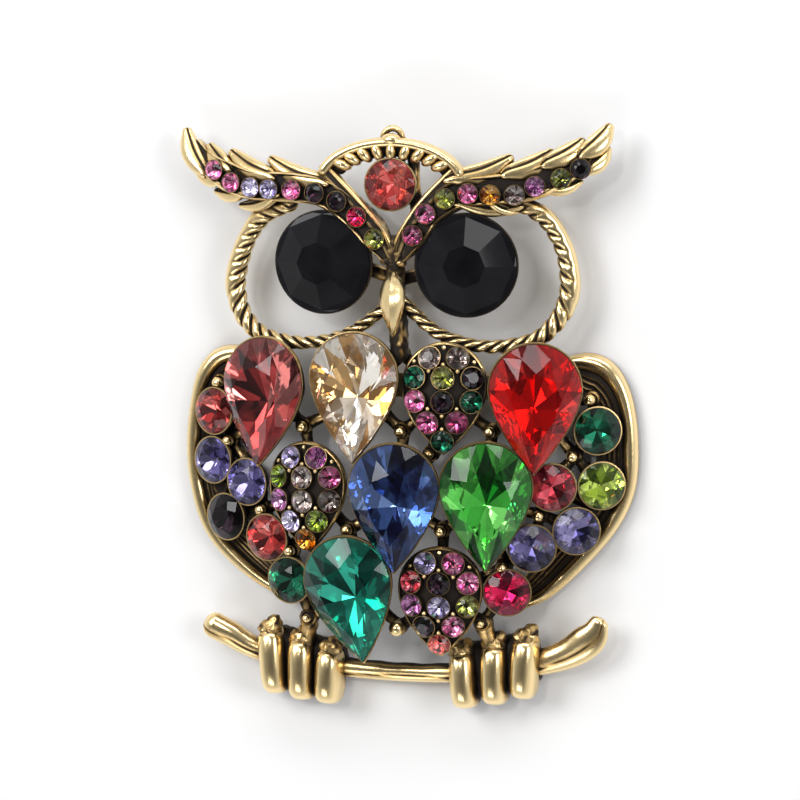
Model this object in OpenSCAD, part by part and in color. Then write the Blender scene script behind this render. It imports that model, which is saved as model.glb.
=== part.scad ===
// Owl brooch with faceted stones, lying on its back: +X to the viewer's right, +Y to the ears, +Z to the
// viewer. The origin is below the middle of its box, on the surface that it rests on. All lengths are in
// millimetres.

/* [Stones] */
// Width of a pear stone
pear_w = 10; // [9:0.25:11]
// Length of a pear stone
pear_l = 14; // [12.5:0.25:15]
// Diameter of a round side stone
round_d = 5; // [4:0.1:5.6]
// Diameter of an eye stone
eye_d = 11; // [10:0.25:12]
// Diameter of the forehead stone
forehead_d = 5.5; // [4.5:0.1:6]
// Diameter of a brow stone
brow_d = 2.1; // [1.7:0.05:2.3]
// Diameter of a small stone of a drop
grain_d = 2.4; // [2:0.05:2.5]
// Depth of a stone below its girdle, as a share of its width
pavilion_share = 0.28; // [0.2:0.01:0.32]
// Height of a stone above its girdle, as a share of its width
crown_share = 0.16; // [0.1:0.01:0.2]

/* [Settings] */
// Wall of a stone's cup
cup_wall = 0.35; // [0.25:0.05:0.6]
// Clearance between a stone and its cup
stone_gap = 0.06; // [0.04:0.01:0.12]
// Metal under a stone's point
cup_floor = 0.5; // [0.4:0.05:0.9]
// Width of the webs between the cups
web_w = 1.5; // [1.1:0.1:2.2]
// Thickness of the webs between the cups
web_t = 1.2; // [0.9:0.1:1.6]
// Diameter of the ball beads on the webs
bead_d = 1.35; // [1:0.05:1.7]
// Clearance around a small stone
grain_gap = 0.1; // [0.08:0.01:0.2]

/* [Body] */
// Radius of the body's dome from side to side
dome_side_r = 49; // [42:1:60]
// Radius of the body's dome from top to bottom
dome_long_r = 160; // [120:5:220]
// Height of the dome's back above the surface, at its middle
dome_rise = 6.4; // [5.6:0.1:7.5]
// Width of a wing's shiny edge
wing_w = 1.7; // [1.2:0.1:2.4]
// Thickness of a wing's edge
wing_t = 1.9; // [1.4:0.1:2.4]

/* [Head] */
// Radius of the head's curve from side to side
head_side_r = 70; // [64:1:90]
// Height of the head's back above the surface, at its middle
head_rise = 5.2; // [5:0.1:6]
// Width of an eye rim
rim_w = 2.1; // [1.6:0.1:2.6]
// Thickness of an eye rim
rim_t = 1.9; // [1.4:0.1:2.4]
// Width of the metal that holds the brow stones
brow_w = 3.1; // [2.8:0.1:3.6]
// Height of a brow above the head's back
brow_h = 3.7; // [3.2:0.1:4.2]
// Width of a brow feather
feather_w = 1.3; // [1:0.1:1.7]
// Width of the beak
beak_w = 2.6; // [2:0.1:3.2]
// Length of the beak
beak_l = 7; // [6:0.25:8]
// Inner diameter of the bail loop
bail_id = 1.4; // [1.2:0.1:2]
// Wire of the bail loop
bail_wire = 0.7; // [0.6:0.1:1]

/* [Feet] */
// Diameter of the perch
perch_d = 2.4; // [2:0.1:3]
// Width of a toe
toe_w = 2.9; // [2.4:0.1:3.3]
// Length of a toe
toe_l = 7.4; // [6.6:0.1:8.5]
// Height of a toe above the surface
toe_h = 5.6; // [4.6:0.1:6.2]

/* [Pin] */
// Diameter of the pin's stem
stem_d = 0.9; // [0.7:0.05:1.2]
// Length of the pin's stem, between its hinge and its catch
stem_l = 20; // [16:0.5:24]
// Width of the pin's base bar
bar_w = 2.6; // [2:0.1:3.4]
// Thickness of the pin's base bar
bar_t = 0.7; // [0.5:0.05:1]
// Gap for cloth between the stem and the base bar
cloth_gap = 1.6; // [1.2:0.1:2]

/* [Hidden] */
PEARS = 6;
SIDES = 6;
BROWS = 9;
DROPS = 3;

metal = "#c9a35c";
seat = 2 * (cup_wall + stone_gap);
// Spacing of small stones, and the domed drop that eleven of them fill
grain_pitch = grain_d + 2 * grain_gap;
drop_w = 3.5 * grain_pitch;
drop_l = 4.65 * grain_pitch;
// One cell of the body takes a pear stone, two side stones or a drop, whichever needs the most room.
cell = max(pear_w, pear_l * 5 / 7, 2 * round_d, 1.1 * drop_w) + seat;
// One face unit takes an eye stone, the forehead stone or the run of brow stones.
face = max(eye_d, 2 * forehead_d, 4.9 * (brow_d + grain_gap)) + seat;
head_y = 0.74 * cell;
dome_y = -0.55 * cell;
bead_rise = web_t + 0.25 * bead_d;

// Points of an outline, counter-clockwise. A pear has a half circle at the top and straighter flanks to its
// tip.
function round_outline(d, n) = [for (i = [0:n - 1]) [cos(360 * i / n), sin(360 * i / n)] * d / 2];
flank_power = 1.35;
function pear_point(a, w, l) =
  let (s = a <= 270 ? (a - 180) / 90 : (360 - a) / 90, y = l / 2 - w / 2)
  a <= 180 ? [cos(a) * w / 2, y + sin(a) * w / 2]
  : [sign(a - 270) * (1 - pow(s, flank_power)) * w / 2, y - s * (l - w / 2)];
function pear_outline(w, l, n) = [for (i = [0:n - 1]) pear_point(360 * i / n, w, l)];
function level(outline, share, z) = [for (p = outline) [p.x * share, p.y * share, z]];
function flipped(faces) = [for (f = faces) [for (i = [len(f) - 1:-1:0]) f[i]]];

// Places on the body's dome and on the head's curve
function body_z(p) = dome_rise - pow(p.x, 2) / (2 * dome_side_r) - pow(p.y - dome_y, 2) / (2 * dome_long_r);
function head_z(p) = head_rise - pow(p.x, 2) / (2 * head_side_r);
function on_body(x, y) = let (p = [x, y] * cell) [p.x, p.y, body_z(p)];
function on_head(x, y) = let (p = [x * face, head_y + y * face]) [p.x, p.y, head_z(p)];
function lifted(p, z) = [p.x, p.y, p.z + z];
function body_tilt(p) = [-atan((p.y - dome_y) / dome_long_r), atan(p.x / dome_side_r), 0];
function head_tilt(p) = [0, atan(p.x / head_side_r), 0];

// Seats. x and y are shares of a cell or of a face unit, turn is in degrees.
//      x,     y,  turn, tone
pear_rows = [
  [-1.31, 0.17, -3, "#9c2430"],
  [-0.36, 0.26, 0, "#ead9b4"],
  [1.35, 0.18, -1, "#dc0d12"],
  [0.04, -0.82, 0, "#2c4a94"],
  [0.91, -0.79, 0, "#2fa53a"],
  [-0.39, -1.76, 10, "#06745a"]
];
drop_rows = [
  [-0.88, -0.77, 2, "#b060a0"],
  [0.50, 0.27, 0, "#7a3060"],
  [0.46, -1.77, 0, "#c05080"]
];
side_left_rows = [
  [-1.95, 0.02, 0, "#c83c50"],
  [-1.96, -0.48, 0, "#5a509e"],
  [-1.56, -0.67, 0, "#5a509e"],
  [-1.81, -1.05, 0, "#1c1020"],
  [-1.34, -1.22, 0, "#dc465a"],
  [-1.10, -1.64, 0, "#0a4632"]
];
side_right_rows = [
  [1.94, -0.05, 0, "#0a4a36"],
  [1.98, -0.60, 0, "#96be32"],
  [1.53, -0.61, 0, "#aa3240"],
  [1.75, -1.05, 0, "#46417a"],
  [1.34, -1.22, 0, "#46417a"],
  [1.10, -1.67, 0, "#be0f46"]
];
eye_left_row = [-0.64, 0.81];
eye_right_row = [0.65, 0.81];
forehead_row = [-0.02, 1.54];
brow_left_rows = [
  [-1.77, 1.63, 0, "#d23c8c"],
  [-1.59, 1.52, 0, "#d23c8c"],
  [-1.39, 1.48, 0, "#8c86a8"],
  [-1.20, 1.47, 0, "#8c86a8"],
  [-0.97, 1.47, 0, "#c8327a"],
  [-0.74, 1.45, 0, "#201c28"],
  [-0.52, 1.38, 0, "#201c28"],
  [-0.33, 1.24, 0, "#b41446"],
  [-0.16, 1.04, 0, "#96a032"]
];
brow_right_rows = [
  [0.20, 1.08, 0, "#dc3c8c"],
  [0.32, 1.28, 0, "#c83c82"],
  [0.50, 1.42, 0, "#78822a"],
  [0.71, 1.47, 0, "#d24682"],
  [0.91, 1.46, 0, "#c87814"],
  [1.13, 1.46, 0, "#6e5a64"],
  [1.31, 1.54, 0, "#a04682"],
  [1.54, 1.61, 0, "#78822a"],
  [1.71, 1.70, 0, "#181418"]
];

// Small stones of a drop, in shares of their pitch from the drop's middle
//      x,     y
grain_rows = [
  [-0.58, 1.69],
  [0.58, 1.69],
  [-1.18, 0.87],
  [0.00, 0.87],
  [1.18, 0.87],
  [-1.16, -0.10],
  [0.00, -0.12],
  [1.16, -0.10],
  [-0.63, -0.98],
  [0.58, -0.95],
  [-0.02, -1.76]
];

// Webs of the body. x and y are shares of a cell, ball is 1 where a bead sits there, and the rest are the
// numbers of the seats that it joins.
SEATS = concat(pear_rows, drop_rows, side_left_rows, side_right_rows);
// The numbers of the first pear, drop, left side stone and right side stone
P = 0;
D = PEARS;
L = PEARS + DROPS;
R = L + SIDES;
web_rows = [
  [-2.00, 0.31, 1, [P + 0, L + 0]],
  [-1.00, -0.07, 1, [P + 0, P + 1, D + 0]],
  [0.04, 0.70, 1, [P + 1, D + 1]],
  [0.06, -0.07, 1, [P + 1, P + 3, D + 1]],
  [-1.87, -0.28, 1, [P + 0, L + 0, L + 1, L + 2]],
  [-1.48, -0.96, 1, [L + 2, L + 4, L + 3, D + 0]],
  [-1.15, -1.36, 1, [L + 4, L + 5, D + 0]],
  [-0.51, -1.10, 1, [P + 3, P + 5, D + 0]],
  [0.01, -2.09, 1, [P + 5, D + 2]],
  [0.96, -0.06, 1, [P + 2, P + 4, D + 1]],
  [1.92, 0.26, 1, [P + 2, R + 0]],
  [1.76, -0.31, 1, [P + 2, R + 0, R + 2, R + 1]],
  [0.36, -0.29, 1, [P + 3, D + 1]],
  [1.44, -0.91, 1, [P + 4, R + 2, R + 4, R + 3]],
  [1.08, -1.44, 1, [P + 4, R + 4, R + 5, D + 2]],
  [0.47, -1.07, 1, [P + 3, P + 4, D + 2]],
  [-1.98, -0.78, 0, [L + 1, L + 3, L + 2]],
  [1.95, -0.84, 0, [R + 1, R + 3, R + 2]],
  [-0.97, -2.05, 0, [P + 5, L + 5]],
  [0.86, -2.02, 0, [D + 2, R + 5]]
];

// Paths of swept metal. x and y are shares of a cell or of a face unit, w and h of the piece's own width and
// height. z is a share of the brows' height above the head's back. A wing lies on the surface: its z is 0.
//      x,     y,    z,    w,   h
wing_left_rows = [
  [-1.55, 0.62, 0, 0.5, 1],
  [-1.94, 0.60, 0, 1.1, 1],
  [-2.14, 0.46, 0, 1.1, 1],
  [-2.25, 0.19, 0, 1, 1],
  [-2.31, -0.30, 0, 1, 1],
  [-2.28, -0.75, 0, 1, 1],
  [-2.14, -1.20, 0, 1, 1],
  [-1.86, -1.53, 0, 1, 1],
  [-1.46, -1.81, 0, 0.8, 1],
  [-1.05, -1.93, 0, 0.5, 1]
];
wing_right_rows = [
  [1.55, 0.60, 0, 0.5, 1],
  [1.86, 0.62, 0, 1.2, 1],
  [2.08, 0.52, 0, 1.2, 1],
  [2.24, 0.24, 0, 1, 1],
  [2.30, -0.20, 0, 1, 1],
  [2.27, -0.66, 0, 1, 1],
  [2.09, -1.05, 0, 1, 1],
  [1.75, -1.45, 0, 1, 1],
  [1.40, -1.78, 0, 0.8, 1],
  [1.05, -1.93, 0, 0.5, 1]
];
rim_left_rows = [
  [-1.04, 1.32, 0.38, 0.8, 1],
  [-1.33, 1.21, 0.27, 1, 1],
  [-1.51, 0.98, 0.24, 1, 1],
  [-1.61, 0.71, 0.24, 1.1, 1],
  [-1.63, 0.49, 0.24, 1.1, 1],
  [-1.55, 0.26, 0.24, 1, 1],
  [-1.37, 0.10, 0.24, 0.9, 1],
  [-1.12, 0.04, 0.24, 0.8, 1],
  [-0.86, 0.04, 0.24, 0.7, 1],
  [-0.58, 0.10, 0.27, 0.7, 1],
  [-0.34, 0.22, 0.35, 0.7, 1],
  [-0.03, 0.46, 0.43, 0.7, 1]
];
rim_right_rows = [
  [1.10, 1.38, 0.38, 0.8, 1],
  [1.35, 1.24, 0.27, 1, 1],
  [1.51, 0.98, 0.24, 1, 1],
  [1.57, 0.71, 0.24, 1.1, 1],
  [1.56, 0.50, 0.24, 1.1, 1],
  [1.47, 0.30, 0.24, 1, 1],
  [1.30, 0.13, 0.24, 0.9, 1],
  [1.06, 0.06, 0.24, 0.8, 1],
  [0.78, 0.05, 0.24, 0.7, 1],
  [0.51, 0.11, 0.27, 0.7, 1],
  [0.31, 0.22, 0.35, 0.7, 1],
  [0.06, 0.46, 0.43, 0.7, 1]
];
// The brows' bodies, from the beak to the ear tips
brow_left_path = [
  [-0.02, 0.82, 0.72, 0.3, 0.5],
  [-0.17, 1.05, 0.56, 0.95, 0.9],
  [-0.36, 1.25, 0.52, 1, 0.9],
  [-0.65, 1.44, 0.52, 1.05, 0.9],
  [-0.97, 1.49, 0.52, 1.1, 0.9],
  [-1.39, 1.50, 0.52, 1.1, 0.9],
  [-1.66, 1.58, 0.52, 1.1, 0.9],
  [-1.87, 1.70, 0.52, 0.8, 0.85],
  [-2.00, 1.86, 0.5, 0.3, 0.5]
];
brow_right_path = [
  [0.04, 0.82, 0.72, 0.3, 0.5],
  [0.20, 1.07, 0.56, 0.95, 0.9],
  [0.36, 1.30, 0.52, 1, 0.9],
  [0.62, 1.46, 0.52, 1.05, 0.9],
  [0.92, 1.50, 0.52, 1.1, 0.9],
  [1.23, 1.54, 0.52, 1.1, 0.9],
  [1.49, 1.65, 0.52, 1.1, 0.9],
  [1.69, 1.77, 0.52, 0.8, 0.85],
  [1.81, 1.91, 0.5, 0.3, 0.5]
];
// Feathers of the brows: from their root to their tip
//   root x, root y, tip x, tip y, width
feather_rows = [
  [-1.91, 1.63, -2.11, 1.96, 1.1],
  [-1.65, 1.65, -1.85, 1.83, 1],
  [-1.22, 1.59, -1.61, 1.78, 1.1],
  [-0.70, 1.55, -1.20, 1.73, 1.1],
  [-1.74, 1.53, -2.00, 1.63, 0.8],
  [-1.49, 1.44, -1.78, 1.42, 0.8],
  [-1.15, 1.42, -1.52, 1.30, 0.7],
  [1.74, 1.83, 1.93, 2.06, 1.1],
  [1.76, 1.69, 1.92, 1.86, 0.9],
  [1.42, 1.74, 1.69, 1.93, 1.1],
  [1.07, 1.65, 1.42, 1.83, 1.1],
  [0.57, 1.60, 1.05, 1.78, 1.1],
  [0.65, 1.38, 1.16, 1.35, 0.7],
  [0.92, 1.39, 1.12, 1.30, 0.6],
  [1.42, 1.52, 1.68, 1.57, 0.7]
];
// The smooth inner edges of the brows, the crest's band and the strut behind the forehead stone
v_left_rows = [
  [-0.66, 1.67, 0.81, 1, 1],
  [-0.35, 1.37, 0.86, 1, 1],
  [-0.12, 1.11, 0.89, 0.9, 1],
  [0.01, 0.87, 0.86, 0.8, 1]
];
v_right_rows = [
  [0.60, 1.68, 0.81, 1, 1],
  [0.31, 1.38, 0.86, 1, 1],
  [0.12, 1.11, 0.89, 0.9, 1],
  [0.01, 0.86, 0.86, 0.8, 1]
];
strut_rows = [
  [0.16, 1.86, 0.43, 1, 1],
  [0.17, 1.51, 0.38, 1, 1],
  [0.20, 1.15, 0.43, 1, 1]
];
// The spine carries the beak and joins the brows, the eye cups, the rims and the body.
spine_rows = [
  [0, 1.0, 0.55, 1, 1],
  [0.01, 0.6, 0.55, 1, 1],
  [0.03, 0.25, 0.55, 1, 1],
  [0.04, -0.03, 0.55, 1, 1]
];
// The beak's sections. y and z are shares of its length, w of its width, h of its length.
//   y,   z,    w,    h
beak_rows = [
  [0.5, -0.02, 0.35, 0.16],
  [0.32, 0.02, 0.8, 0.24],
  [0.1, 0.05, 1, 0.3],
  [-0.2, 0.04, 0.75, 0.26],
  [-0.5, -0.06, 0.15, 0.12]
];
// Feet: x and y are shares of a cell from the body's middle, lean is in degrees.
//     x,     y,   lean, length
toe_rows = [
  [-1.39, -2.55, -4, 1],
  [-1.09, -2.62, 0, 0.95],
  [-0.80, -2.68, 4, 0.85],
  [0.63, -2.65, -4, 0.87],
  [0.95, -2.58, 0, 0.92],
  [1.26, -2.50, 4, 0.94]
];
// Sections along a toe. s is a share of its length from its middle, z and h of its height, w of its width.
toe_sections = [
  [0.5, 0.52, 0.45, 0.35],
  [0.38, 0.6, 0.85, 0.68],
  [0.12, 0.56, 1, 0.86],
  [-0.15, 0.5, 0.98, 1],
  [-0.38, 0.44, 0.8, 0.7],
  [-0.5, 0.36, 0.4, 0.35]
];
// The perch. z is a share of a toe's height.
//      x,     y,   z,   w,   h
perch_rows = [
  [-2.06, -2.22, 0.46, 1.25, 1],
  [-1.89, -2.30, 0.45, 1.2, 1],
  [-1.50, -2.48, 0.39, 1, 0.95],
  [-0.55, -2.60, 0.38, 0.95, 0.95],
  [0.50, -2.60, 0.38, 0.95, 0.95],
  [1.47, -2.43, 0.41, 1.25, 0.9],
  [1.90, -2.20, 0.52, 1.55, 0.8],
  [2.03, -2.00, 0.57, 0.9, 0.5]
];
leg_rows = [
  [-0.98, -2.06, -1.06, -2.50],
  [0.86, -2.02, 0.98, -2.50]
];

// The crest's arc: half its width and its height in face units, its edges as shares of that reach, the run
// of its beads in degrees, and its heights
crest_reach = [0.68, 0.385];
crest_outer = 1.06;
crest_inner = 0.9;
crest_beads = 7;
crest_spread = 52;
crest_lift = 0.5 * brow_h;
crest_h = 1.25 * feather_w;

/* Extents of the outline, whose middle the origin lies below */

function wing_reach(r) = abs(r.x) * cell + r[3] * wing_w / 2;
function side_reach(r) =
  let (x = abs(r.x) * cell, tilt = atan(x / dome_side_r))
  x + sin(tilt) * cup_h(round_d) + cos(tilt) * (round_d + seat) / 2;
left_x = -max(concat([for (r = wing_left_rows) wing_reach(r)], [for (r = side_left_rows) side_reach(r)]));
right_x = max(concat([for (r = wing_right_rows) wing_reach(r)], [for (r = side_right_rows) side_reach(r)]));
toes_y = min([for (r = toe_rows) r.y * cell - cos(r.z) * r[3] * toe_l / 2]);
ears_y = max([for (r = feather_rows) head_y + r[3] * face]);
bail_y = crest_point(90, crest_outer).y + 0.1 * bail_id;
top_y = max(ears_y, bail_y + bail_id / 2 + bail_wire);
middle = [(left_x + right_x) / 2, (top_y + toes_y) / 2];

/* Shapes that the pieces share */

// A large cut stone: a table, eight star and eight main facets, sixteen upper facets, a girdle, a pavilion.
// Its girdle's lower edge lies at z = 0.
module large_stone(outline, w) {
  crown = crown_share * w;
  girdle = 0.025 * w;
  pavilion = pavilion_share * w;
  tables = [for (i = [0:7]) outline[2 * i]];
  stars = [for (i = [0:7]) outline[2 * i + 1]];
  points = concat(
    level(tables, 0.6, girdle + crown),
    level(stars, 0.8, girdle + 0.62 * crown),
    level(outline, 1, girdle),
    level(outline, 1, 0),
    [[0, 0, -pavilion]]
  );
  faces = concat(
    [[for (i = [0:7]) i]],
    [for (i = [0:7]) [i, 8 + i, (i + 1) % 8]],
    [for (i = [0:7]) [i, 8 + (i + 7) % 8, 16 + 2 * i]],
    [for (i = [0:7]) [i, 16 + 2 * i, 8 + i]],
    [for (i = [0:7]) [8 + i, 16 + 2 * i, 17 + 2 * i]],
    [for (i = [0:7]) [8 + i, 17 + 2 * i, 16 + (2 * i + 2) % 16]],
    [for (i = [0:15]) [16 + i, 32 + i, 32 + (i + 1) % 16, 16 + (i + 1) % 16]],
    [for (i = [0:15]) [32 + i, 48, 32 + (i + 1) % 16]]
  );
  polyhedron(points, flipped(faces));
}

// A small flat-backed cut stone with a table and sixteen crown facets. Its back lies at z = 0.
module small_stone(d) {
  turned = [for (i = [0:7]) [cos(45 * i - 22.5), sin(45 * i - 22.5)] * d / 2];
  outline = round_outline(d, 8);
  points = concat(level(turned, 0.62, 0.38 * d), level(outline, 1, 0.12 * d), level(outline, 0.8, 0));
  faces = concat(
    [[for (i = [0:7]) i]],
    [for (i = [0:7]) [i, 8 + i, (i + 1) % 8]],
    [for (i = [0:7]) [(i + 1) % 8, 8 + i, 8 + (i + 1) % 8]],
    [for (i = [0:7]) [8 + i, 16 + i, 16 + (i + 1) % 8, 8 + (i + 1) % 8]],
    [[for (i = [7:-1:0]) 16 + i]]
  );
  polyhedron(points, flipped(faces));
}

// The room that a large stone needs in its cup, open at the front
module stone_room(outline, w) {
  n = len(outline);
  grown = 1 + 2 * stone_gap / w;
  points = concat(
    [[0, 0, -pavilion_share * w - 1.5 * stone_gap]],
    level(outline, grown, -stone_gap / 2),
    level(outline, grown, w)
  );
  faces = concat(
    [for (i = [0:n - 1]) [0, 1 + (i + 1) % n, 1 + i]],
    [for (i = [0:n - 1]) [1 + i, 1 + (i + 1) % n, 1 + n + (i + 1) % n, 1 + n + i]],
    [[for (i = [0:n - 1]) 1 + n + i]]
  );
  polyhedron(points, flipped(faces));
}

// A cup's outside, narrower at its back, from its floor to the stone's girdle
module cup(outline, w) {
  grown = 1 + seat / w;
  hull() {
    linear_extrude(0.01) polygon([for (p = outline) p * grown * 0.7]);
    translate([0, 0, cup_h(w)]) linear_extrude(0.01) polygon([for (p = outline) p * grown]);
  }
}
function cup_h(w) = cup_floor + pavilion_share * w + 1.5 * stone_gap;

// A point between b and c on the smooth curve through a, b, c and d
function curve(a, b, c, d, t) =
  0.5 * (2 * b + (c - a) * t + (2 * a - 5 * b + 4 * c - d) * t * t + (3 * b - a - 3 * c + d) * t * t * t);
function smooth(rows, steps) =
  let (last = len(rows) - 1)
  [for (i = [0:last]) each i == last ? [rows[last]]
    : let (a = rows[max(i - 1, 0)], d = rows[min(i + 2, last)])
      [for (k = [0:steps - 1]) curve(a, rows[i], rows[i + 1], d, k / steps)]];

// Sections of swept metal, in shares of half its width and half its height
function round_section(sides) = [for (k = [0:sides - 1]) [cos(360 * k / sides), sin(360 * k / sides)]];
band_section = [[1, -0.3], [0.7, 1], [-0.7, 1], [-1, -0.3], [-0.7, -1], [0.7, -1]];
diamond_section = [[1, 0], [0, 1], [-1, 0], [0, -1]];
barrel_section = [[1, -0.5], [1, 0.4], [0.5, 1], [-0.5, 1], [-1, 0.4], [-1, -0.5], [-0.4, -1], [0.4, -1]];
// A wing's shiny edge, and the dark backing that slopes inwards from it to carry the side stones
wing_section = [[1, -0.2], [0.6, 1], [-0.4, 1], [-1, 0.4], [-4.2, 1.7], [-4.2, 0.8], [-0.8, -1], [0.7, -1]];
function mirrored(section) = [for (i = [len(section) - 1:-1:0]) [-section[i].x, section[i].y]];

// A solid swept along rows of x, y, z, width and height
module swept(rows, section = round_section(6)) {
  last = len(rows) - 1;
  sides = len(section);
  sections = [for (i = [0:last])
    let (
      before = rows[max(i - 1, 0)],
      after = rows[min(i + 1, last)],
      along = [after.x - before.x, after.y - before.y],
      across = [along.y, -along.x, 0] / max(norm(along), 0.001),
      here = [rows[i].x, rows[i].y, rows[i].z]
    )
    [for (q = section) here + across * q.x * rows[i][3] / 2 + [0, 0, q.y * rows[i][4] / 2]]];
  points = [for (s = sections) each s];
  faces = concat(
    [[for (k = [0:sides - 1]) k]],
    [for (i = [0:last - 1], k = [0:sides - 1])
      let (a = i * sides + k, b = i * sides + (k + 1) % sides)
      each [[a, a + sides, b], [b, a + sides, b + sides]]],
    [[for (k = [sides - 1:-1:0]) last * sides + k]]
  );
  polyhedron(points, flipped(faces));
}
function on_body_rows(rows, w, h) =
  [for (r = rows) [r.x * cell, r.y * cell, (r.z + 0.5) * h, r[3] * w, r[4] * h]];
function on_head_rows(rows, w, h) =
  [for (r = rows) let (p = on_head(r.x, r.y)) [p.x, p.y, p.z + r.z * brow_h, r[3] * w, r[4] * h]];

module seated_on_body(row) {
  p = on_body(row.x, row.y);
  translate(p) rotate(body_tilt(p)) rotate(row.z) children();
}
module seated_on_head(row, lift = 0) {
  p = on_head(row.x, row.y);
  translate(lifted(p, lift)) rotate(head_tilt(p)) children();
}
eye_lift = -0.16 * brow_h;
forehead_lift = 0.32 * brow_h;

/* Stones */

module pear(i) {
  color(pear_rows[i][3])
    seated_on_body(pear_rows[i])
      translate([0, 0, cup_h(pear_w)]) large_stone(pear_outline(pear_w, pear_l, 16), pear_w);
}
module side_stone(row) {
  color(row[3])
    seated_on_body(row)
      translate([0, 0, cup_h(round_d)]) large_stone(round_outline(round_d, 16), round_d);
}
module eye(row) {
  color("#101012")
    seated_on_head(row, eye_lift)
      translate([0, 0, cup_h(eye_d)]) large_stone(round_outline(eye_d, 16), eye_d);
}
module forehead_stone() {
  color("#d74646")
    seated_on_head(forehead_row, forehead_lift)
      translate([0, 0, cup_h(forehead_d)]) large_stone(round_outline(forehead_d, 16), forehead_d);
}
module brow_stone(row) {
  color(row[3])
    seated_on_head(row, brow_h) small_stone(brow_d);
}

// The drop's domed face: the height of a point of it above the drop's back
drop_h = 3.2;
drop_curve_r = 0.95 * drop_w;
function drop_face(x, y) = drop_h - (pow(x, 2) + pow(0.72 * y, 2)) / (2 * drop_curve_r);
module grain_places() {
  for (g = grain_rows)
    let (x = g.x * grain_pitch, y = g.y * grain_pitch)
      translate([x, y, drop_face(x, y)])
        rotate([-atan(0.5 * y / drop_curve_r), atan(x / drop_curve_r), 0]) children();
}
module drop_stones(i) {
  color(drop_rows[i][3])
    seated_on_body(drop_rows[i]) grain_places() small_stone(grain_d);
}

/* Metal */

module drop_body() {
  outline = pear_outline(drop_w, drop_l, 16);
  hull() {
    linear_extrude(0.01) polygon([for (p = outline) p * 0.75]);
    translate([0, 0, drop_face(drop_w / 2, 0)]) linear_extrude(0.01) polygon(outline);
    translate([0, 0, drop_face(drop_w * 0.25, 0)])
      linear_extrude(0.01) polygon([for (p = outline) p * 0.55]);
  }
}
// A ball bead on its post
module ball(d, post) {
  rotate_extrude($fn = 6)
    polygon([[0, -post], [0.42 * d, -post], [0.5 * d, 0], [0.3 * d, 0.4 * d], [0, 0.5 * d]]);
}
// The body's pierced plate: a flat net of webs, bent over the dome
plate_x = 2.3;
plate_top = 0.9;
plate_low = -2.3;
module dome_shell() {
  nx = 6;
  ny = 2;
  grid = [for (side = [0, 1], j = [0:ny], i = [0:nx])
    let (p = on_body(plate_x * (2 * i / nx - 1), plate_low + (plate_top - plate_low) * j / ny))
    [p.x, p.y, p.z + (side - 0.5) * web_t]];
  layer = (nx + 1) * (ny + 1);
  function at(side, i, j) = side * layer + j * (nx + 1) + i;
  faces = concat(
    [for (j = [0:ny - 1], i = [0:nx - 1]) each [
      [at(0, i, j), at(0, i + 1, j), at(0, i, j + 1)],
      [at(0, i + 1, j), at(0, i + 1, j + 1), at(0, i, j + 1)],
      [at(1, i, j), at(1, i, j + 1), at(1, i + 1, j)],
      [at(1, i + 1, j), at(1, i, j + 1), at(1, i + 1, j + 1)]]],
    [for (i = [0:nx - 1]) each [
      [at(0, i + 1, 0), at(0, i, 0), at(1, i, 0), at(1, i + 1, 0)],
      [at(0, i, ny), at(0, i + 1, ny), at(1, i + 1, ny), at(1, i, ny)]]],
    [for (j = [0:ny - 1]) each [
      [at(0, 0, j), at(0, 0, j + 1), at(1, 0, j + 1), at(1, 0, j)],
      [at(0, nx, j + 1), at(0, nx, j), at(1, nx, j), at(1, nx, j + 1)]]]
  );
  polyhedron(grid, faces);
}
module webs() {
  intersection() {
    dome_shell();
    linear_extrude(2 * dome_rise)
      for (row = web_rows, k = row[3])
        let (from = [row.x, row.y] * cell, to = [SEATS[k].x, SEATS[k].y] * cell, run = to - from)
          translate(from) rotate(atan2(run.y, run.x)) translate([-web_w / 2, -web_w / 2])
            square([web_w + 0.6 * norm(run), web_w]);
  }
  for (row = web_rows)
    if (row.z == 1) translate(lifted(on_body(row.x, row.y), bead_rise)) ball(bead_d, bead_rise);
}
module cups() {
  for (row = pear_rows) seated_on_body(row) cup(pear_outline(pear_w, pear_l, 16), pear_w);
  for (row = concat(side_left_rows, side_right_rows))
    seated_on_body(row) cup(round_outline(round_d, 12), round_d);
  for (row = drop_rows) seated_on_body(row) drop_body();
  for (row = [eye_left_row, eye_right_row])
    seated_on_head(row, eye_lift) cup(round_outline(eye_d, 20), eye_d);
  seated_on_head(forehead_row, forehead_lift) cup(round_outline(forehead_d, 14), forehead_d);
}
module rooms() {
  for (row = pear_rows)
    seated_on_body(row)
      translate([0, 0, cup_h(pear_w)]) stone_room(pear_outline(pear_w, pear_l, 16), pear_w);
  for (row = concat(side_left_rows, side_right_rows))
    seated_on_body(row)
      translate([0, 0, cup_h(round_d)]) stone_room(round_outline(round_d, 16), round_d);
  for (row = [eye_left_row, eye_right_row])
    seated_on_head(row, eye_lift)
      translate([0, 0, cup_h(eye_d)]) stone_room(round_outline(eye_d, 16), eye_d);
  seated_on_head(forehead_row, forehead_lift)
    translate([0, 0, cup_h(forehead_d)]) stone_room(round_outline(forehead_d, 16), forehead_d);
}
module wings() {
  for (rows = [wing_left_rows, wing_right_rows]) {
    edge = on_body_rows(rows, wing_w, wing_t);
    swept(smooth(edge, 2), rows[4].x < 0 ? wing_section : mirrored(wing_section));
  }
}
module rims() {
  for (rows = [rim_left_rows, rim_right_rows])
    swept(smooth(on_head_rows(rows, rim_w, rim_t), 2), round_section(5));
}
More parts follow.
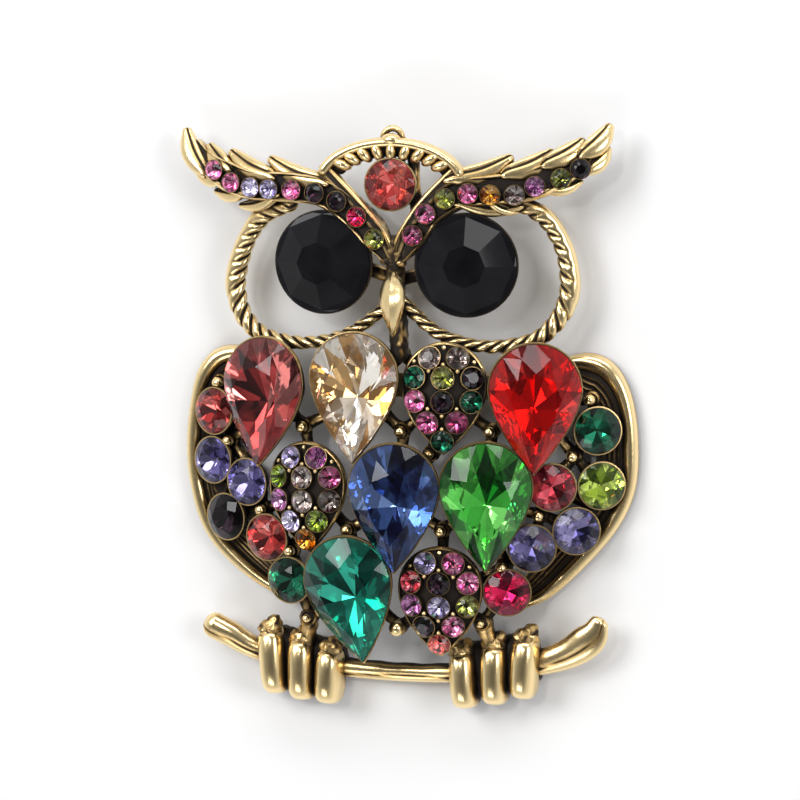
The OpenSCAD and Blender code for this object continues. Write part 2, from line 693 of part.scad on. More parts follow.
module brows() {
  for (rows = [brow_left_path, brow_right_path])
    swept(on_head_rows(rows, brow_w, brow_h), band_section);
  for (r = feather_rows) {
    root = on_head(r.x, r.y);
    tip = on_head(r.z, r[3]);
    near_root = 0.55 * root + 0.45 * tip;
    w = r[4] * feather_w;
    swept([
      [root.x, root.y, root.z + 0.68 * brow_h, 0.5 * w, 0.35 * brow_h],
      [near_root.x, near_root.y, near_root.z + 0.68 * brow_h, w, 0.55 * brow_h],
      [tip.x, tip.y, tip.z + 0.55 * brow_h, 0.35 * w, 0.25 * brow_h]
    ], round_section(5));
  }
  swept(on_head_rows(v_left_rows, feather_w, feather_w));
  swept(on_head_rows(v_right_rows, feather_w, feather_w));
}
// The crest: an arc with a row of oblong beads on its inside, cut as a comb, and the strut behind the stone
function crest_point(a, share) =
  let (p = on_head(forehead_row.x, forehead_row.y))
  [p.x + cos(a) * crest_reach.x * face * share, p.y + sin(a) * crest_reach.y * face * share];
function crest_z() = on_head(forehead_row.x, forehead_row.y).z + crest_lift;
module crest() {
  arc = [for (k = [-5:5]) 90 - k * (crest_spread + 21) / 5];
  translate([0, 0, crest_z()]) linear_extrude(crest_h) {
    polygon(concat(
      [for (a = arc) crest_point(a, crest_outer)],
      [for (k = [len(arc) - 1:-1:0]) crest_point(arc[k], crest_inner)]
    ));
    for (i = [0:crest_beads - 1]) {
      a = 90 + crest_spread * (2 * i / (crest_beads - 1) - 1);
      translate(crest_point(a, crest_inner)) rotate(a) translate([-1.1 * feather_w, -0.45 * feather_w])
        square([1.4 * feather_w, 0.9 * feather_w]);
    }
  }
  swept(on_head_rows(strut_rows, feather_w, feather_w), diamond_section);
}
beak_place = [0.015, 0.42];
eye_link_place = [0.02, 0.65];
module spine() {
  swept(on_head_rows(spine_rows, 1.4 * feather_w, 0.9 * brow_h), diamond_section);
  for (row = [eye_left_row, eye_right_row]) {
    ends = [on_head(eye_link_place.x, eye_link_place.y), on_head(row.x, row.y)];
    swept([for (p = ends) [p.x, p.y, p.z, web_w, web_t]], diamond_section);
  }
  root = lifted(on_head(beak_place.x, beak_place.y), brow_h);
  swept([for (b = beak_rows)
    [root.x, root.y + b.x * beak_l, root.z + b.y * beak_l, b.z * beak_w, b[3] * beak_l]], round_section(8));
}
module bail() {
  translate([crest_point(90, crest_outer).x, bail_y, crest_z() + bail_wire / 2])
    rotate_extrude($fn = 12) translate([(bail_id + bail_wire) / 2, 0]) circle(d = bail_wire, $fn = 6);
}
module feet() {
  for (r = toe_rows) {
    at = [r.x, r.y] * cell;
    way = [sin(r.z), cos(r.z)] * r[3] * toe_l;
    swept([for (s = toe_sections)
      [at.x + way.x * s.x, at.y + way.y * s.x, s.y * toe_h, s.z * toe_w, s[3] * toe_h]], barrel_section);
  }
  swept([for (r = perch_rows) [r.x * cell, r.y * cell, r.z * toe_h, r[3] * perch_d, r[4] * perch_d]]);
  for (r = leg_rows)
    hull()
      for (p = [on_body(r.x, r.y), [r.z * cell, r[3] * cell, 0.35 * toe_h]])
        translate(p) cylinder(d = 1.6 * web_w, h = 1.6 * web_t, $fn = 6);
}
module casting() {
  color(metal) difference() {
    union() {
      cups();
      webs();
      wings();
      rims();
      brows();
      crest();
      spine();
      bail();
      feet();
    }
    rooms();
  }
}

// The pin finding, closed: a base bar on two feet under the cups, a hinge block, the stem and its catch
pin_y = 0.36;
pin_feet = [-0.55, 0.56];
foot_d = 2;
block_l = 1.6;
module pin() {
  y = pin_y * cell;
  seats = [for (x = pin_feet) body_z([abs(x) * cell + foot_d / 2, y]) - stone_gap];
  bar_z = body_z([stem_l / 2, y]) - web_t;
  stem_z = bar_z - bar_t - cloth_gap - stem_d / 2;
  color("#b08f52") {
    for (i = [0:1])
      translate([pin_feet[i] * cell, y, bar_z - bar_t])
        cylinder(d = foot_d, h = seats[i] - bar_z + bar_t, $fn = 24);
    translate([-stem_l / 2, y - bar_w / 2, bar_z - bar_t]) cube([stem_l, bar_w, bar_t]);
    translate([-stem_l / 2, y, stem_z]) rotate([0, 90, 0]) cylinder(d = stem_d, h = stem_l, $fn = 24);
    for (x = [-stem_l / 2, stem_l / 2 - block_l])
      translate([x, y - bar_w / 2, stem_z - stem_d / 2 - 0.2])
        cube([block_l, bar_w, bar_z - stem_z + stem_d / 2]);
  }
}

module placed() translate(-middle) children();

placed() casting();
placed() pin();
placed() eye(eye_left_row);  // eye_left
placed() eye(eye_right_row);  // eye_right
placed() forehead_stone();
for (i = [0:PEARS - 1])
  placed() pear(i);
for (i = [0:SIDES - 1])
  placed() side_stone(side_left_rows[i]);
for (i = [0:SIDES - 1])
  placed() side_stone(side_right_rows[i]);
for (i = [0:BROWS - 1])
  placed() brow_stone(brow_left_rows[i]);
for (i = [0:BROWS - 1])
  placed() brow_stone(brow_right_rows[i]);
for (i = [0:DROPS - 1])
  placed() drop_stones(i);
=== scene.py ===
import itertools
from math import atan, cos, pi, radians, sin

import bmesh
import bpy
import numpy as np
from mathutils import Matrix, Vector, noise
from numpy.linalg import norm

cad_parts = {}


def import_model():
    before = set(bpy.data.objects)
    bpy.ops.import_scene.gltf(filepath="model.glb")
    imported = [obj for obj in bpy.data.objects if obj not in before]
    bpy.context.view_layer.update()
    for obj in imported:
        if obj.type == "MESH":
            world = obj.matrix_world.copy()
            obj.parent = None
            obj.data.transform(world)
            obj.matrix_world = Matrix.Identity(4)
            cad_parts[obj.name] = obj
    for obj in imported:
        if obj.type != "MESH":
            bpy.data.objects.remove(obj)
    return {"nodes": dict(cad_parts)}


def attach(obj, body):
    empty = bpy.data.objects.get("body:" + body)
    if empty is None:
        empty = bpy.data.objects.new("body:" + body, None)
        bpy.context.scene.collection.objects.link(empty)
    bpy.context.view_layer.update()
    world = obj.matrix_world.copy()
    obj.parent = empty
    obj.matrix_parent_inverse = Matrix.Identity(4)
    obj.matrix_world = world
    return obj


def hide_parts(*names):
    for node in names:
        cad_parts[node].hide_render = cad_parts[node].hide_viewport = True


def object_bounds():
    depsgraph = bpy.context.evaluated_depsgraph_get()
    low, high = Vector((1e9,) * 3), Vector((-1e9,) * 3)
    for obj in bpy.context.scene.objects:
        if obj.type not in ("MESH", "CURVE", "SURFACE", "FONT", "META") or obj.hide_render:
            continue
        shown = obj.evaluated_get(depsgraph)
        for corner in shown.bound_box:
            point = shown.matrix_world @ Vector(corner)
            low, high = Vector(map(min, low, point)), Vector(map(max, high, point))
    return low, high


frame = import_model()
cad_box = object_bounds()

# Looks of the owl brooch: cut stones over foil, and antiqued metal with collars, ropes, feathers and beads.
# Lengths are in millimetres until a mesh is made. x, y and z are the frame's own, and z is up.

MM = 0.001
TURN = 2 * pi
UP = np.array([0.0, 0.0, 1.0])
NORTH = np.array([0.0, 1.0, 0.0])
EAST = np.array([1.0, 0.0, 0.0])

# Stones as the frame holds them

# Corners of a mesh that lie closer than this, in metres, are one
WELD = 1e-6
# Least step between two levels of a stone's corners
LEVEL_TOLERANCE = 0.02
# From this ratio of its longest radius to its shortest on, a stone is a pear
PEAR_RATIO = 1.15


def node_solids(node):
    """Each solid of a CAD node: its corners in millimetres, and its flat sides' areas and summed normals."""
    mesh = frame["nodes"][node].data
    bm = bmesh.new()
    bm.from_mesh(mesh)
    bmesh.ops.remove_doubles(bm, verts=bm.verts, dist=WELD)
    islands = []
    left = set(bm.verts)
    while left:
        todo = [left.pop()]
        island = []
        while todo:
            v = todo.pop()
            island.append(v)
            for e in v.link_edges:
                other = e.other_vert(v)
                if other in left:
                    left.remove(other)
                    todo.append(other)
        islands.append(island)
    found = []
    for island in islands:
        members = set(island)
        faces = [f for f in bm.faces if f.verts[0] in members]
        normals = {}
        for f in faces:
            key = tuple(round(c, 2) for c in f.normal)
            area, total = normals.get(key, (0, Vector()))
            normals[key] = (area + f.calc_area(), total + f.normal * f.calc_area())
        points = np.array([v.co for v in island]) / MM
        found.append((points, sorted(normals.values(), key=lambda n: -n[0])))
    bm.free()
    return found


class Seat:
    """Where a stone sits: its origin on its axis at the girdle's lower edge, and its axes x, y and n.

    y points to a pear's round end, and n up out of the table. top is the table's height above the girdle, and
    depth the point's below it, or 0 for a small stone, whose solid has a flat back.
    """

    def __init__(self, points, normals):
        table = next(total for _, total in normals if total.z > 0.5 * total.length)
        self.n = np.array(table.normalized())
        heights = points @ self.n
        levels = sorted(set(np.round(heights, 2)))
        low = points[np.abs(heights - levels[0]) < LEVEL_TOLERANCE]
        girdle = points[np.abs(heights - levels[1]) < LEVEL_TOLERANCE]
        self.pointed = len(low) == 1
        self.depth = levels[1] - levels[0] if self.pointed else 0.0
        self.origin = low[0] + self.n * self.depth if self.pointed else low.mean(0)
        spread = girdle - self.origin
        spread = spread - np.outer(spread @ self.n, self.n)
        radius = norm(spread, axis=1)
        self.long = radius.max() > PEAR_RATIO * radius.min()
        y = spread.mean(0) if self.long else NORTH
        y = y - self.n * (y @ self.n)
        self.y = y / norm(y)
        self.x = np.cross(self.y, self.n)
        self.w = 2 * np.abs(spread @ self.x).max()
        self.l = 2 * np.abs(spread @ self.y).max()
        self.top = levels[-1] - levels[1]

    def place(self, p):
        """Local points of shape (..., 3), in the frame."""
        p = np.asarray(p, float)
        return self.origin + p[..., :1] * self.x + p[..., 1:2] * self.y + p[..., 2:3] * self.n


def seats(node):
    return [Seat(points, normals) for points, normals in node_solids(node)]


PEARS = [seats(f"pear_{i}")[0] for i in range(1, 7)]
EYES = [seats(n)[0] for n in ("eye_left", "eye_right")]
FOREHEAD = seats("forehead_stone")[0]
SIDES = [seats(f"side_{side}_{i}")[0] for side in ("left", "right") for i in range(1, 7)]
BROWS = [seats(f"brow_{side}_{i}")[0] for side in ("left", "right") for i in range(1, 10)]
DROPS = [seats(f"drop_stones_{i}") for i in range(1, 4)]

# Sizes of the metal, as the solids have them. _W is a width, _H a height, _T a thickness, _L a length, _D a
# diameter and _R a radius of curvature.

CUP_LIP = 0.19
CUP_FLOOR = 0.5
STONE_GAP = 0.06
DOME_RISE, DOME_SIDE_R, DOME_LONG_R = 6.4, 49, 160
HEAD_RISE, HEAD_SIDE_R = 5.2, 70
BROW_W, BROW_H, FEATHER_W = 3.1, 3.7, 1.3
RIM_W, RIM_T = 2.1, 1.9
WING_W, WING_T = 1.7, 1.9
BEAK_W, BEAK_L = 2.6, 7
WEB_W, WEB_T, BEAD_D = 1.7, 1.2, 1.35
PERCH_D, TOE_W, TOE_L, TOE_H = 2.4, 2.9, 7.4, 5.6
# A small stone's girdle above the metal's face, and its point below the girdle as a share of its width
SMALL_LIFT = 0.27
SMALL_DEPTH = 0.34
# A stone's girdle, as a share of its width
GIRDLE = 0.03
# The power of a pear's flanks and of a drop's: 1 is straight, and more is fuller
PEAR_FLANK = 1.6
DROP_FLANK = 2.0


def foot(seat):
    """The point that a large stone's cup stands on."""
    return seat.origin - seat.n * (seat.depth + CUP_FLOOR + 1.5 * STONE_GAP)


# The shares at which two pears and the eyes lie give the body's cell, the face's unit and the owl's origin.
PEAR_1_X, PEAR_1_Y, PEAR_3_X = -1.31, 0.17, 1.35
EYE_LEFT_X, EYE_RIGHT_X = -0.65, 0.64
CELL = (foot(PEARS[2])[0] - foot(PEARS[0])[0]) / (PEAR_3_X - PEAR_1_X)
FACE = (foot(EYES[1])[0] - foot(EYES[0])[0]) / (EYE_RIGHT_X - EYE_LEFT_X)
MID_X = PEAR_1_X * CELL - foot(PEARS[0])[0]
MID_Y = PEAR_1_Y * CELL - foot(PEARS[0])[1]
DOME_Y = -0.55 * CELL
HEAD_Y = 0.74 * CELL


def on_plane(x, y, z=0.0):
    """A place in shares of a cell, at height z."""
    return np.array([x * CELL - MID_X, y * CELL - MID_Y, z])


def on_body(x, y):
    """A place in shares of a cell, on the body's dome."""
    px, py = x * CELL, y * CELL
    return on_plane(x, y, DOME_RISE - px**2 / (2 * DOME_SIDE_R) - (py - DOME_Y) ** 2 / (2 * DOME_LONG_R))


def on_head(x, y):
    """A place in shares of the face's unit, on the head."""
    px, py = x * FACE, HEAD_Y + y * FACE
    return np.array([px - MID_X, py - MID_Y, HEAD_RISE - px**2 / (2 * HEAD_SIDE_R)])


def heading(degrees):
    """The level direction that lies this far from north towards east."""
    t = radians(degrees)
    return np.array([sin(t), cos(t), 0.0])


def around(n):
    """The angles of n points round a section."""
    return np.arange(n) * TURN / n


def circle(n, x, y):
    """n points round the origin, with half axes x and y."""
    t = around(n)
    return np.outer(np.cos(t), x) + np.outer(np.sin(t), y)


def bell(x, width):
    """1 where x is 0, falling off over the width."""
    return np.exp(-((x / width) ** 2))


def clamp(x):
    return np.clip(x, 0, 1)


def linked(name, data):
    """A new object in the scene, made of the data."""
    made = bpy.data.objects.new(name, data)
    bpy.context.scene.collection.objects.link(made)
    return made


# Meshes

# Edges of the metal with more than this angle stay sharp
SHARP_EDGE = radians(50)


def enclosed(rings):
    """The volume in the rings, negative where their faces would look inwards."""
    middle = rings.reshape(-1, 3).mean(0)
    a = rings[:-1] - middle
    b = rings[1:] - middle
    a_next, b_next = np.roll(a, -1, 1), np.roll(b, -1, 1)
    sides = np.cross(a, a_next) * b_next + np.cross(a, b_next) * b
    first, last = (np.cross(ring, np.roll(ring, -1, 0)) * ring.mean(0) for ring in (a[0], b[-1]))
    return (sides.sum() - first.sum() + last.sum()) / 6


class Metal:
    """A mesh under construction. dark is 0 on polished metal and 1 in an oxidised recess; it also holds
    painted shade on some undersides, and a painted highlight along the webs' tops.
    """

    def __init__(self):
        self.verts = []
        self.faces = []
        self.dark = []
        self.count = 0

    def rings(self, rings, dark=0.0, loop=False):
        """Closed rings of points, each joined to the next. The ends get a fan, or in a loop are joined."""
        rings = np.asarray(rings, float)
        n, m = rings.shape[:2]
        shade = np.broadcast_to(np.asarray(dark, float), (n, m))
        base = self.count
        self.verts.append(rings.reshape(-1, 3))
        self.dark.append(shade.reshape(-1))
        i, k = np.meshgrid(np.arange(n if loop else n - 1), np.arange(m), indexing="ij")
        i_next, k_next = (i + 1) % n, (k + 1) % m
        quads = [base + i * m + k, base + i * m + k_next, base + i_next * m + k_next, base + i_next * m + k]
        faces = np.stack(quads, -1).reshape(-1, 4).tolist()
        self.count += n * m
        for row in () if loop else (0, n - 1):
            self.verts.append(rings[row].mean(0)[None])
            self.dark.append(shade[row].mean()[None])
            ring = [base + row * m + j for j in range(m)]
            for j in range(m):
                pair = [ring[j], ring[(j + 1) % m]]
                faces.append([*(pair if row else pair[::-1]), self.count])
            self.count += 1
        self.faces += faces if enclosed(rings) > 0 else [f[::-1] for f in faces]

    def object(self, name, material):
        mesh = bpy.data.meshes.new(name)
        verts = np.concatenate(self.verts) * MM
        mesh.from_pydata(verts.tolist(), [], self.faces)
        # Each point's oxide darkness, with painted shade on some undersides and painted highlights on the
        # webs' tops
        shade = mesh.attributes.new("patina_and_painted_light", "FLOAT", "POINT")
        shade.data.foreach_set("value", np.concatenate(self.dark).astype(np.float32))
        bm = bmesh.new()
        bm.from_mesh(mesh)
        bm.normal_update()
        for f in bm.faces:
            f.smooth = True
        for e in bm.edges:
            if len(e.link_faces) == 2 and e.calc_face_angle() > SHARP_EDGE:
                e.smooth = False
        bm.to_mesh(mesh)
        bm.free()
        mesh.materials.append(material)
        piece = linked(name, mesh)
        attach(piece, "root")
        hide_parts("casting")


def smooth_path(rows, steps):
    """Catmull-Rom through the rows, with steps points to a stretch."""
    rows = np.asarray(rows, float)
    last = len(rows) - 1
    out = []
    for i in range(last):
        a, b, c, d = rows[max(i - 1, 0)], rows[i], rows[i + 1], rows[min(i + 2, last)]
        for t in np.arange(steps) / steps:
            square = (2 * a - 5 * b + 4 * c - d) * t**2
            cube = (3 * b - a - 3 * c + d) * t**3
            out.append(0.5 * (2 * b + (c - a) * t + square + cube))
    return np.array(out + [rows[last]])


# A ball's first and last ring of points, as an angle from its middle
BALL_REACH = 1.45


def oval(angles, power):
    """A superellipse of half size 1."""
    c, s = np.cos(angles), np.sin(angles)
    return np.stack([np.sign(c) * np.abs(c) ** (2 / power), np.sign(s) * np.abs(s) ** (2 / power)], -1)


def tube(metal, rows, steps=1, sides=20, power=2.2, relief=None, dark=0.0, section=None, ends=3):
    """A sweep along rows of x, y, z, width and height, its section an oval or the one given.

    relief(run, angles) gives a height in millimetres and a shade, both round the section.
    steps is the points to a stretch of the path, and ends one more than the rings that round off an end.
    """
    rows = smooth_path(rows, steps)
    angles = around(sides)
    shape = oval(angles, power) if section is None else np.asarray(section, float)
    along = np.gradient(rows[:, :2], axis=0)
    along /= np.maximum(norm(along, axis=1, keepdims=True), 1e-9)
    across = np.stack([along[:, 1], -along[:, 0], np.zeros(len(rows))], -1)
    run = np.concatenate([[0], np.cumsum(norm(np.diff(rows[:, :3], axis=0), axis=1))])
    rings, shades = [], []
    for i, row in enumerate(rows):
        q = shape * row[3:5] / 2
        shade = dark
        if relief is not None:
            rise, shade = relief(run[i], angles)
            reach = np.maximum(norm(q, axis=1, keepdims=True), 1e-6)
            q = q * (1 + np.reshape(rise, (-1, 1)) / reach)
        rings.append(row[:3] + np.outer(q[:, 0], across[i]) + np.outer(q[:, 1], UP))
        shades.append(np.broadcast_to(shade, (len(shape),)))
    if ends:
        turns = np.linspace(pi / 2, 0, ends, endpoint=False)[1:]
        lead = [rounded_end(rings[0], -along[0], rows[0], t) for t in turns]
        trail = [rounded_end(rings[-1], along[-1], rows[-1], t) for t in turns[::-1]]
        rings = lead + rings + trail
        shades = [shades[0]] * len(lead) + shades + [shades[-1]] * len(trail)
    metal.rings(rings, np.array(shades))


def rounded_end(ring, way, row, t):
    """The ring drawn in by t's cosine and moved out along the way by its sine."""
    middle = ring.mean(0)
    step = np.append(way, 0) * min(row[3], row[4]) / 2
    return middle + (ring - middle) * cos(t) + step * sin(t)


def turned_axes(n, y):
    """Axes x, y and n at right angles, y as near as can be to the one given."""
    n = np.asarray(n, float) / norm(n)
    x = np.cross(y, n)
    x /= norm(x)
    return x, np.cross(n, x), n


def lathe(metal, centre, n, profile, sides=24):
    """A turned shape: profile rows of radius, height along n and shade."""
    x, y, n = turned_axes(n, NORTH)
    turn = circle(sides, x, y)
    rings = [centre + turn * max(r, 1e-3) + n * z for r, z, _ in profile]
    metal.rings(rings, np.array([row[2] for row in profile])[:, None])


def ball(metal, centre, size, n=UP, y=NORTH, sides=18, dark=0.0):
    """An ellipsoid; size is its half axes along x, y and n."""
    x, y, n = turned_axes(n, y)
    turn = circle(sides, x * size[0], y * size[1])
    heights = np.linspace(-BALL_REACH, BALL_REACH, sides // 2)
    metal.rings([centre + turn * cos(v) + n * sin(v) * size[2] for v in heights], dark)


# Where the three parts of a cast texture's push are read in the noise, so that they differ
NOISE_APART = [(0, 0, 0), (17.3, 0, 5.1), (3.7, 29.1, 0)]


def roughened(metal, depth, scale, seed):
    """Presses a cast texture into the points made so far, and darkens where it is deep."""
    verts = np.concatenate(metal.verts)
    shade = np.concatenate(metal.dark)
    shift = Vector((seed, 0, 0))
    for i, p in enumerate(verts):
        at = Vector(p) * scale + shift
        d = np.array([noise.noise(at + Vector(apart)) for apart in NOISE_APART])
        verts[i] = p + d * depth
        shade[i] = clamp(shade[i] + 0.5 * (d[2] - 0.1))
    metal.verts = [verts]
    metal.dark = [shade]


# Stones

# Corners of a stone's outline, and of a cup's and a drop's
STONE_SIDES = 32
CUP_SIDES = 64
# How far the middle of a side of an eight-sided level lies in, as a share of its corners' distance
HALF_FACET = cos(TURN / 16)


def pear_outline(w, l, n, power):
    """Half a circle above, and below it two flanks that meet in a point."""
    a = np.arange(n) * 360 / n
    s = np.where(a <= 270, (a - 180) / 90, (360 - a) / 90)
    y = l / 2 - w / 2
    rad = np.radians(a)
    top = np.stack([np.cos(rad) * w / 2, y + np.sin(rad) * w / 2], -1)
    flank = np.stack([np.sign(a - 270) * (1 - np.abs(s) ** power) * w / 2, y - s * (l - w / 2)], -1)
    return np.where((a <= 180)[:, None], top, flank)


def outline_of(seat, n):
    return pear_outline(seat.w, seat.l, n, PEAR_FLANK) if seat.long else circle(n, *np.eye(2)) * seat.w / 2


def levels_of(outline, rows):
    """Points of the outline at rows of step, share and height, one below the other."""
    points = []
    for step, first, share, z in rows:
        index = np.arange(first, STONE_SIDES, step)
        points.append(np.column_stack([outline[index] * share, np.full(len(index), z)]))
    return points


def rim_corners(k):
    """The five corners of the girdle's upper edge over facet k, and the five below them."""
    top = [16 + (4 * k + j) % STONE_SIDES for j in range(5)]
    return top, [t + STONE_SIDES for t in top]


def girdle_facets(top, low):
    return [[top[j], low[j], low[j + 1], top[j + 1]] for j in range(4)]


def brilliant_cut(seat, table=0.5, star=0.8, valley=0.3, lift=0.0):
    """A brilliant: points, front facets and the facets of the foiled back. The shares are of the outline."""
    rim_z = GIRDLE * seat.w
    depth = seat.depth if seat.pointed else SMALL_DEPTH * seat.w
    star_z = rim_z + (seat.top - rim_z) * (1 - star * HALF_FACET) / (1 - table)
    points = np.concatenate(levels_of(outline_of(seat, STONE_SIDES), [
        (4, 0, table, seat.top), (4, 2, star, star_z), (1, 0, 1, rim_z), (1, 0, 1, 0),
        (4, 2, valley, -depth * (1 - valley * HALF_FACET)),
    ]) + [[[0, 0, -depth]]])
    points[:, 2] += lift
    point = len(points) - 1
    front, back = [list(range(8))], []
    for k in range(8):
        nxt, prev = (k + 1) % 8, (k + 7) % 8
        top, low = rim_corners(k)
        front += [[k, 8 + k, nxt], [k, 8 + prev, top[0], 8 + k]]
        front += [[8 + k, *top[:3]], [8 + k, *top[2:]], *girdle_facets(top, low)]
        v = point - 8 + k
        back += [[point, v, low[0], point - 8 + prev], [v, *low[2::-1]], [v, *low[4:1:-1]]]
    return seat.place(points), front, back


def wide_cut(seat, table=0.42, corner=0.96):
    """A cut of eight wide facets around a small table, for the dark eyes."""
    rim_z = GIRDLE * seat.w
    corner_z = rim_z + (seat.top - rim_z) * (1 - corner) / (1 - table)
    points = np.concatenate(levels_of(outline_of(seat, STONE_SIDES), [
        (4, 0, table, seat.top), (4, 0, corner, corner_z), (1, 0, 1, rim_z), (1, 0, 1, 0),
    ]) + [[[0, 0, -seat.depth]]])
    point = len(points) - 1
    front, back = [list(range(8))], []
    for k in range(8):
        nxt = (k + 1) % 8
        top, low = rim_corners(k)
        front += [[k, 8 + k, 8 + nxt, nxt], [8 + k, *top[:3]], [8 + k, top[2], 8 + nxt], [8 + nxt, *top[2:]]]
        front += girdle_facets(top, low)
        back += [[point, low[j + 1], low[j]] for j in range(4)]
    return seat.place(points), front, back


def stone_object(name, node, points, front, back, kind):
    """A stone in place of its node. Its foil takes each facet's painted light and shade from a seeded random
    number.
    """
    mesh = bpy.data.meshes.new(name)
    mesh.from_pydata((points * MM).tolist(), [], front + back)
    for material in STONE_MATERIALS[kind]:
        mesh.materials.append(material)
    for i, f in enumerate(mesh.polygons):
        f.material_index = 0 if i < len(front) else 1
    bm = bmesh.new()
    bm.from_mesh(mesh)
    bmesh.ops.recalc_face_normals(bm, faces=bm.faces)
    bm.to_mesh(mesh)
    bm.free()
    # Each facet's painted light and shade on the foil, from a random number seeded by the name
    shades = np.random.default_rng(sum(map(ord, name))).random(len(mesh.polygons))
    mesh.attributes.new("facet", "FLOAT", "FACE").data.foreach_set("value", shades.astype(np.float32))
    piece = linked(name, mesh)
    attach(piece, "root")
    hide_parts(node)


# Materials


class Nodes:
    """The node tree of a material, or of the world, with short ways to add to it."""

    def __init__(self, name, kind="materials", end="Principled BSDF"):
        self.owner = getattr(bpy.data, kind).new(name)
        self.owner.use_nodes = True
        self.tree = self.owner.node_tree
        self.end = self.tree.nodes[end]

    def add(self, kind, inputs=None, **settings):
        node = self.tree.nodes.new("ShaderNode" + kind)
        for key, value in settings.items():
            setattr(node, key, value)
        for key, value in (inputs or {}).items():
            if isinstance(value, bpy.types.NodeSocket):
                self.tree.links.new(value, node.inputs[key])
            else:
                node.inputs[key].default_value = value
        return node

    def noise(self, scale, detail):
        """Noise in the object's own coordinates, which are metres."""
        place = self.add("TexCoord").outputs["Object"]
        inputs = {"Vector": place, "Scale": scale, "Detail": detail}
        return self.add("TexNoise", inputs).outputs["Fac"]

    def attribute(self, name):
        return self.add("Attribute", attribute_name=name).outputs["Fac"]

    def set(self, **values):
        for key, value in values.items():
            self.end.inputs[key.replace("_", " ")].default_value = value

    def link(self, socket, name):
        self.tree.links.new(socket, self.end.inputs[name])

    def ramp(self, factor, stops):
        node = self.add("ValToRGB", {"Fac": factor})
        elements = node.color_ramp.elements
        while len(elements) < len(stops):
            elements.new(0.5)
        for element, (place, colour) in zip(elements, stops):
            element.position = place
            element.color = (*colour, 1)
        return node.outputs["Color"]

    def math(self, operation, a, b):
        return self.add("Math", {0: a, 1: b}, operation=operation).outputs[0]

    def wavered(self, value, cloud, amount):
        """The value, with the cloud's wavering around it."""
        return self.math("ADD", value, self.math("MULTIPLY", self.math("SUBTRACT", cloud, 0.5), amount))


def grey(level):
    return (level, level, level)


# Painted shade: how far metal is searched for cover, in metres, and how strongly that darkens its colour
PAINTED_SHADE_REACH = 0.0014
PAINTED_SHADE_WEIGHT = 1.35
WORN_ROUGHNESS = 0.6


def antique_gold(name, bright, mid, dark, rough=0.2):
    """Gold-coloured metal, bright where it is rubbed, brown-black where its oxide stays, and darker as
    painted shade where nearby metal or stones cover it.
    """
    m = Nodes(name)
    fine = m.noise(2400, 4)
    broad = m.noise(420, 3)
    # Painted shade: ambient occlusion darkens the colour where nearby metal or stones cover the metal
    unoccluded = m.add("AmbientOcclusion", {"Distance": PAINTED_SHADE_REACH}, samples=6).outputs["AO"]
    painted_shade = m.math("MULTIPLY", m.math("SUBTRACT", 1.0, unoccluded), PAINTED_SHADE_WEIGHT)
    shade = m.wavered(m.math("ADD", painted_shade, m.attribute("patina_and_painted_light")), broad, 0.35)
    darkest = tuple(0.5 * c for c in dark)
    m.link(m.ramp(shade, [(0.12, bright), (0.42, mid), (0.72, dark), (1.0, darkest)]), "Base Color")
    roughness = m.ramp(shade, [(0.1, grey(rough)), (0.55, grey(rough + 0.12)), (0.85, grey(WORN_ROUGHNESS))])
    m.link(m.math("ADD", roughness, m.math("MULTIPLY", fine, 0.06)), "Roughness")
    m.link(m.ramp(shade, [(0.5, grey(1.0)), (0.95, grey(0.45))]), "Metallic")
    bump = m.add("Bump", {"Strength": 0.25, "Distance": 0.00004, "Height": fine})
    m.link(bump.outputs["Normal"], "Normal")
    return m.owner


def glass_front(name, tint):
    """Clear tinted glass. Its index is a little under glass's own, so that lamps don't grey the facets."""
    m = Nodes(name)
    lighter = tuple(min(1, c * 1.06 + 0.01) for c in tint)
    m.link(m.ramp(m.noise(260, 2), [(0.3, tint), (0.7, lighter)]), "Base Color")
    m.set(Roughness=0.0, IOR=1.4, Transmission_Weight=1.0)
    return m.owner


# Painted light: the foil glows in its own colour from all sides, beside what it mirrors
FOIL_PAINTED_GLOW = 0.14


def foil_back(name, dark, mid, light):
    """A foiled back whose facets are painted from a dark shade to a light one, as painted shade and painted
    reflections, and which glows a little as painted light.
    """
    m = Nodes(name)
    # Painted shade and painted reflections: each facet dark to light at random, with a cloud over it
    shade = m.wavered(m.attribute("facet"), m.noise(500, 3), 0.3)
    colour = m.ramp(shade, [(0.18, dark), (0.4, mid), (0.62, mid), (0.9, light)])
    m.link(colour, "Base Color")
    # The foil's colour also glows, as painted light
    m.link(colour, "Emission Color")
    m.set(Metallic=1.0, Roughness=0.04, Emission_Strength=FOIL_PAINTED_GLOW)
    return m.owner


def jet(name):
    """Polished black glass."""
    m = Nodes(name)
    blacks = [(0.3, (0.004, 0.004, 0.005)), (0.7, (0.009, 0.009, 0.011))]
    m.link(m.ramp(m.noise(300, 3), blacks), "Base Color")
    m.set(Roughness=0.04, IOR=1.5, Specular_IOR_Level=0.2)
    return m.owner
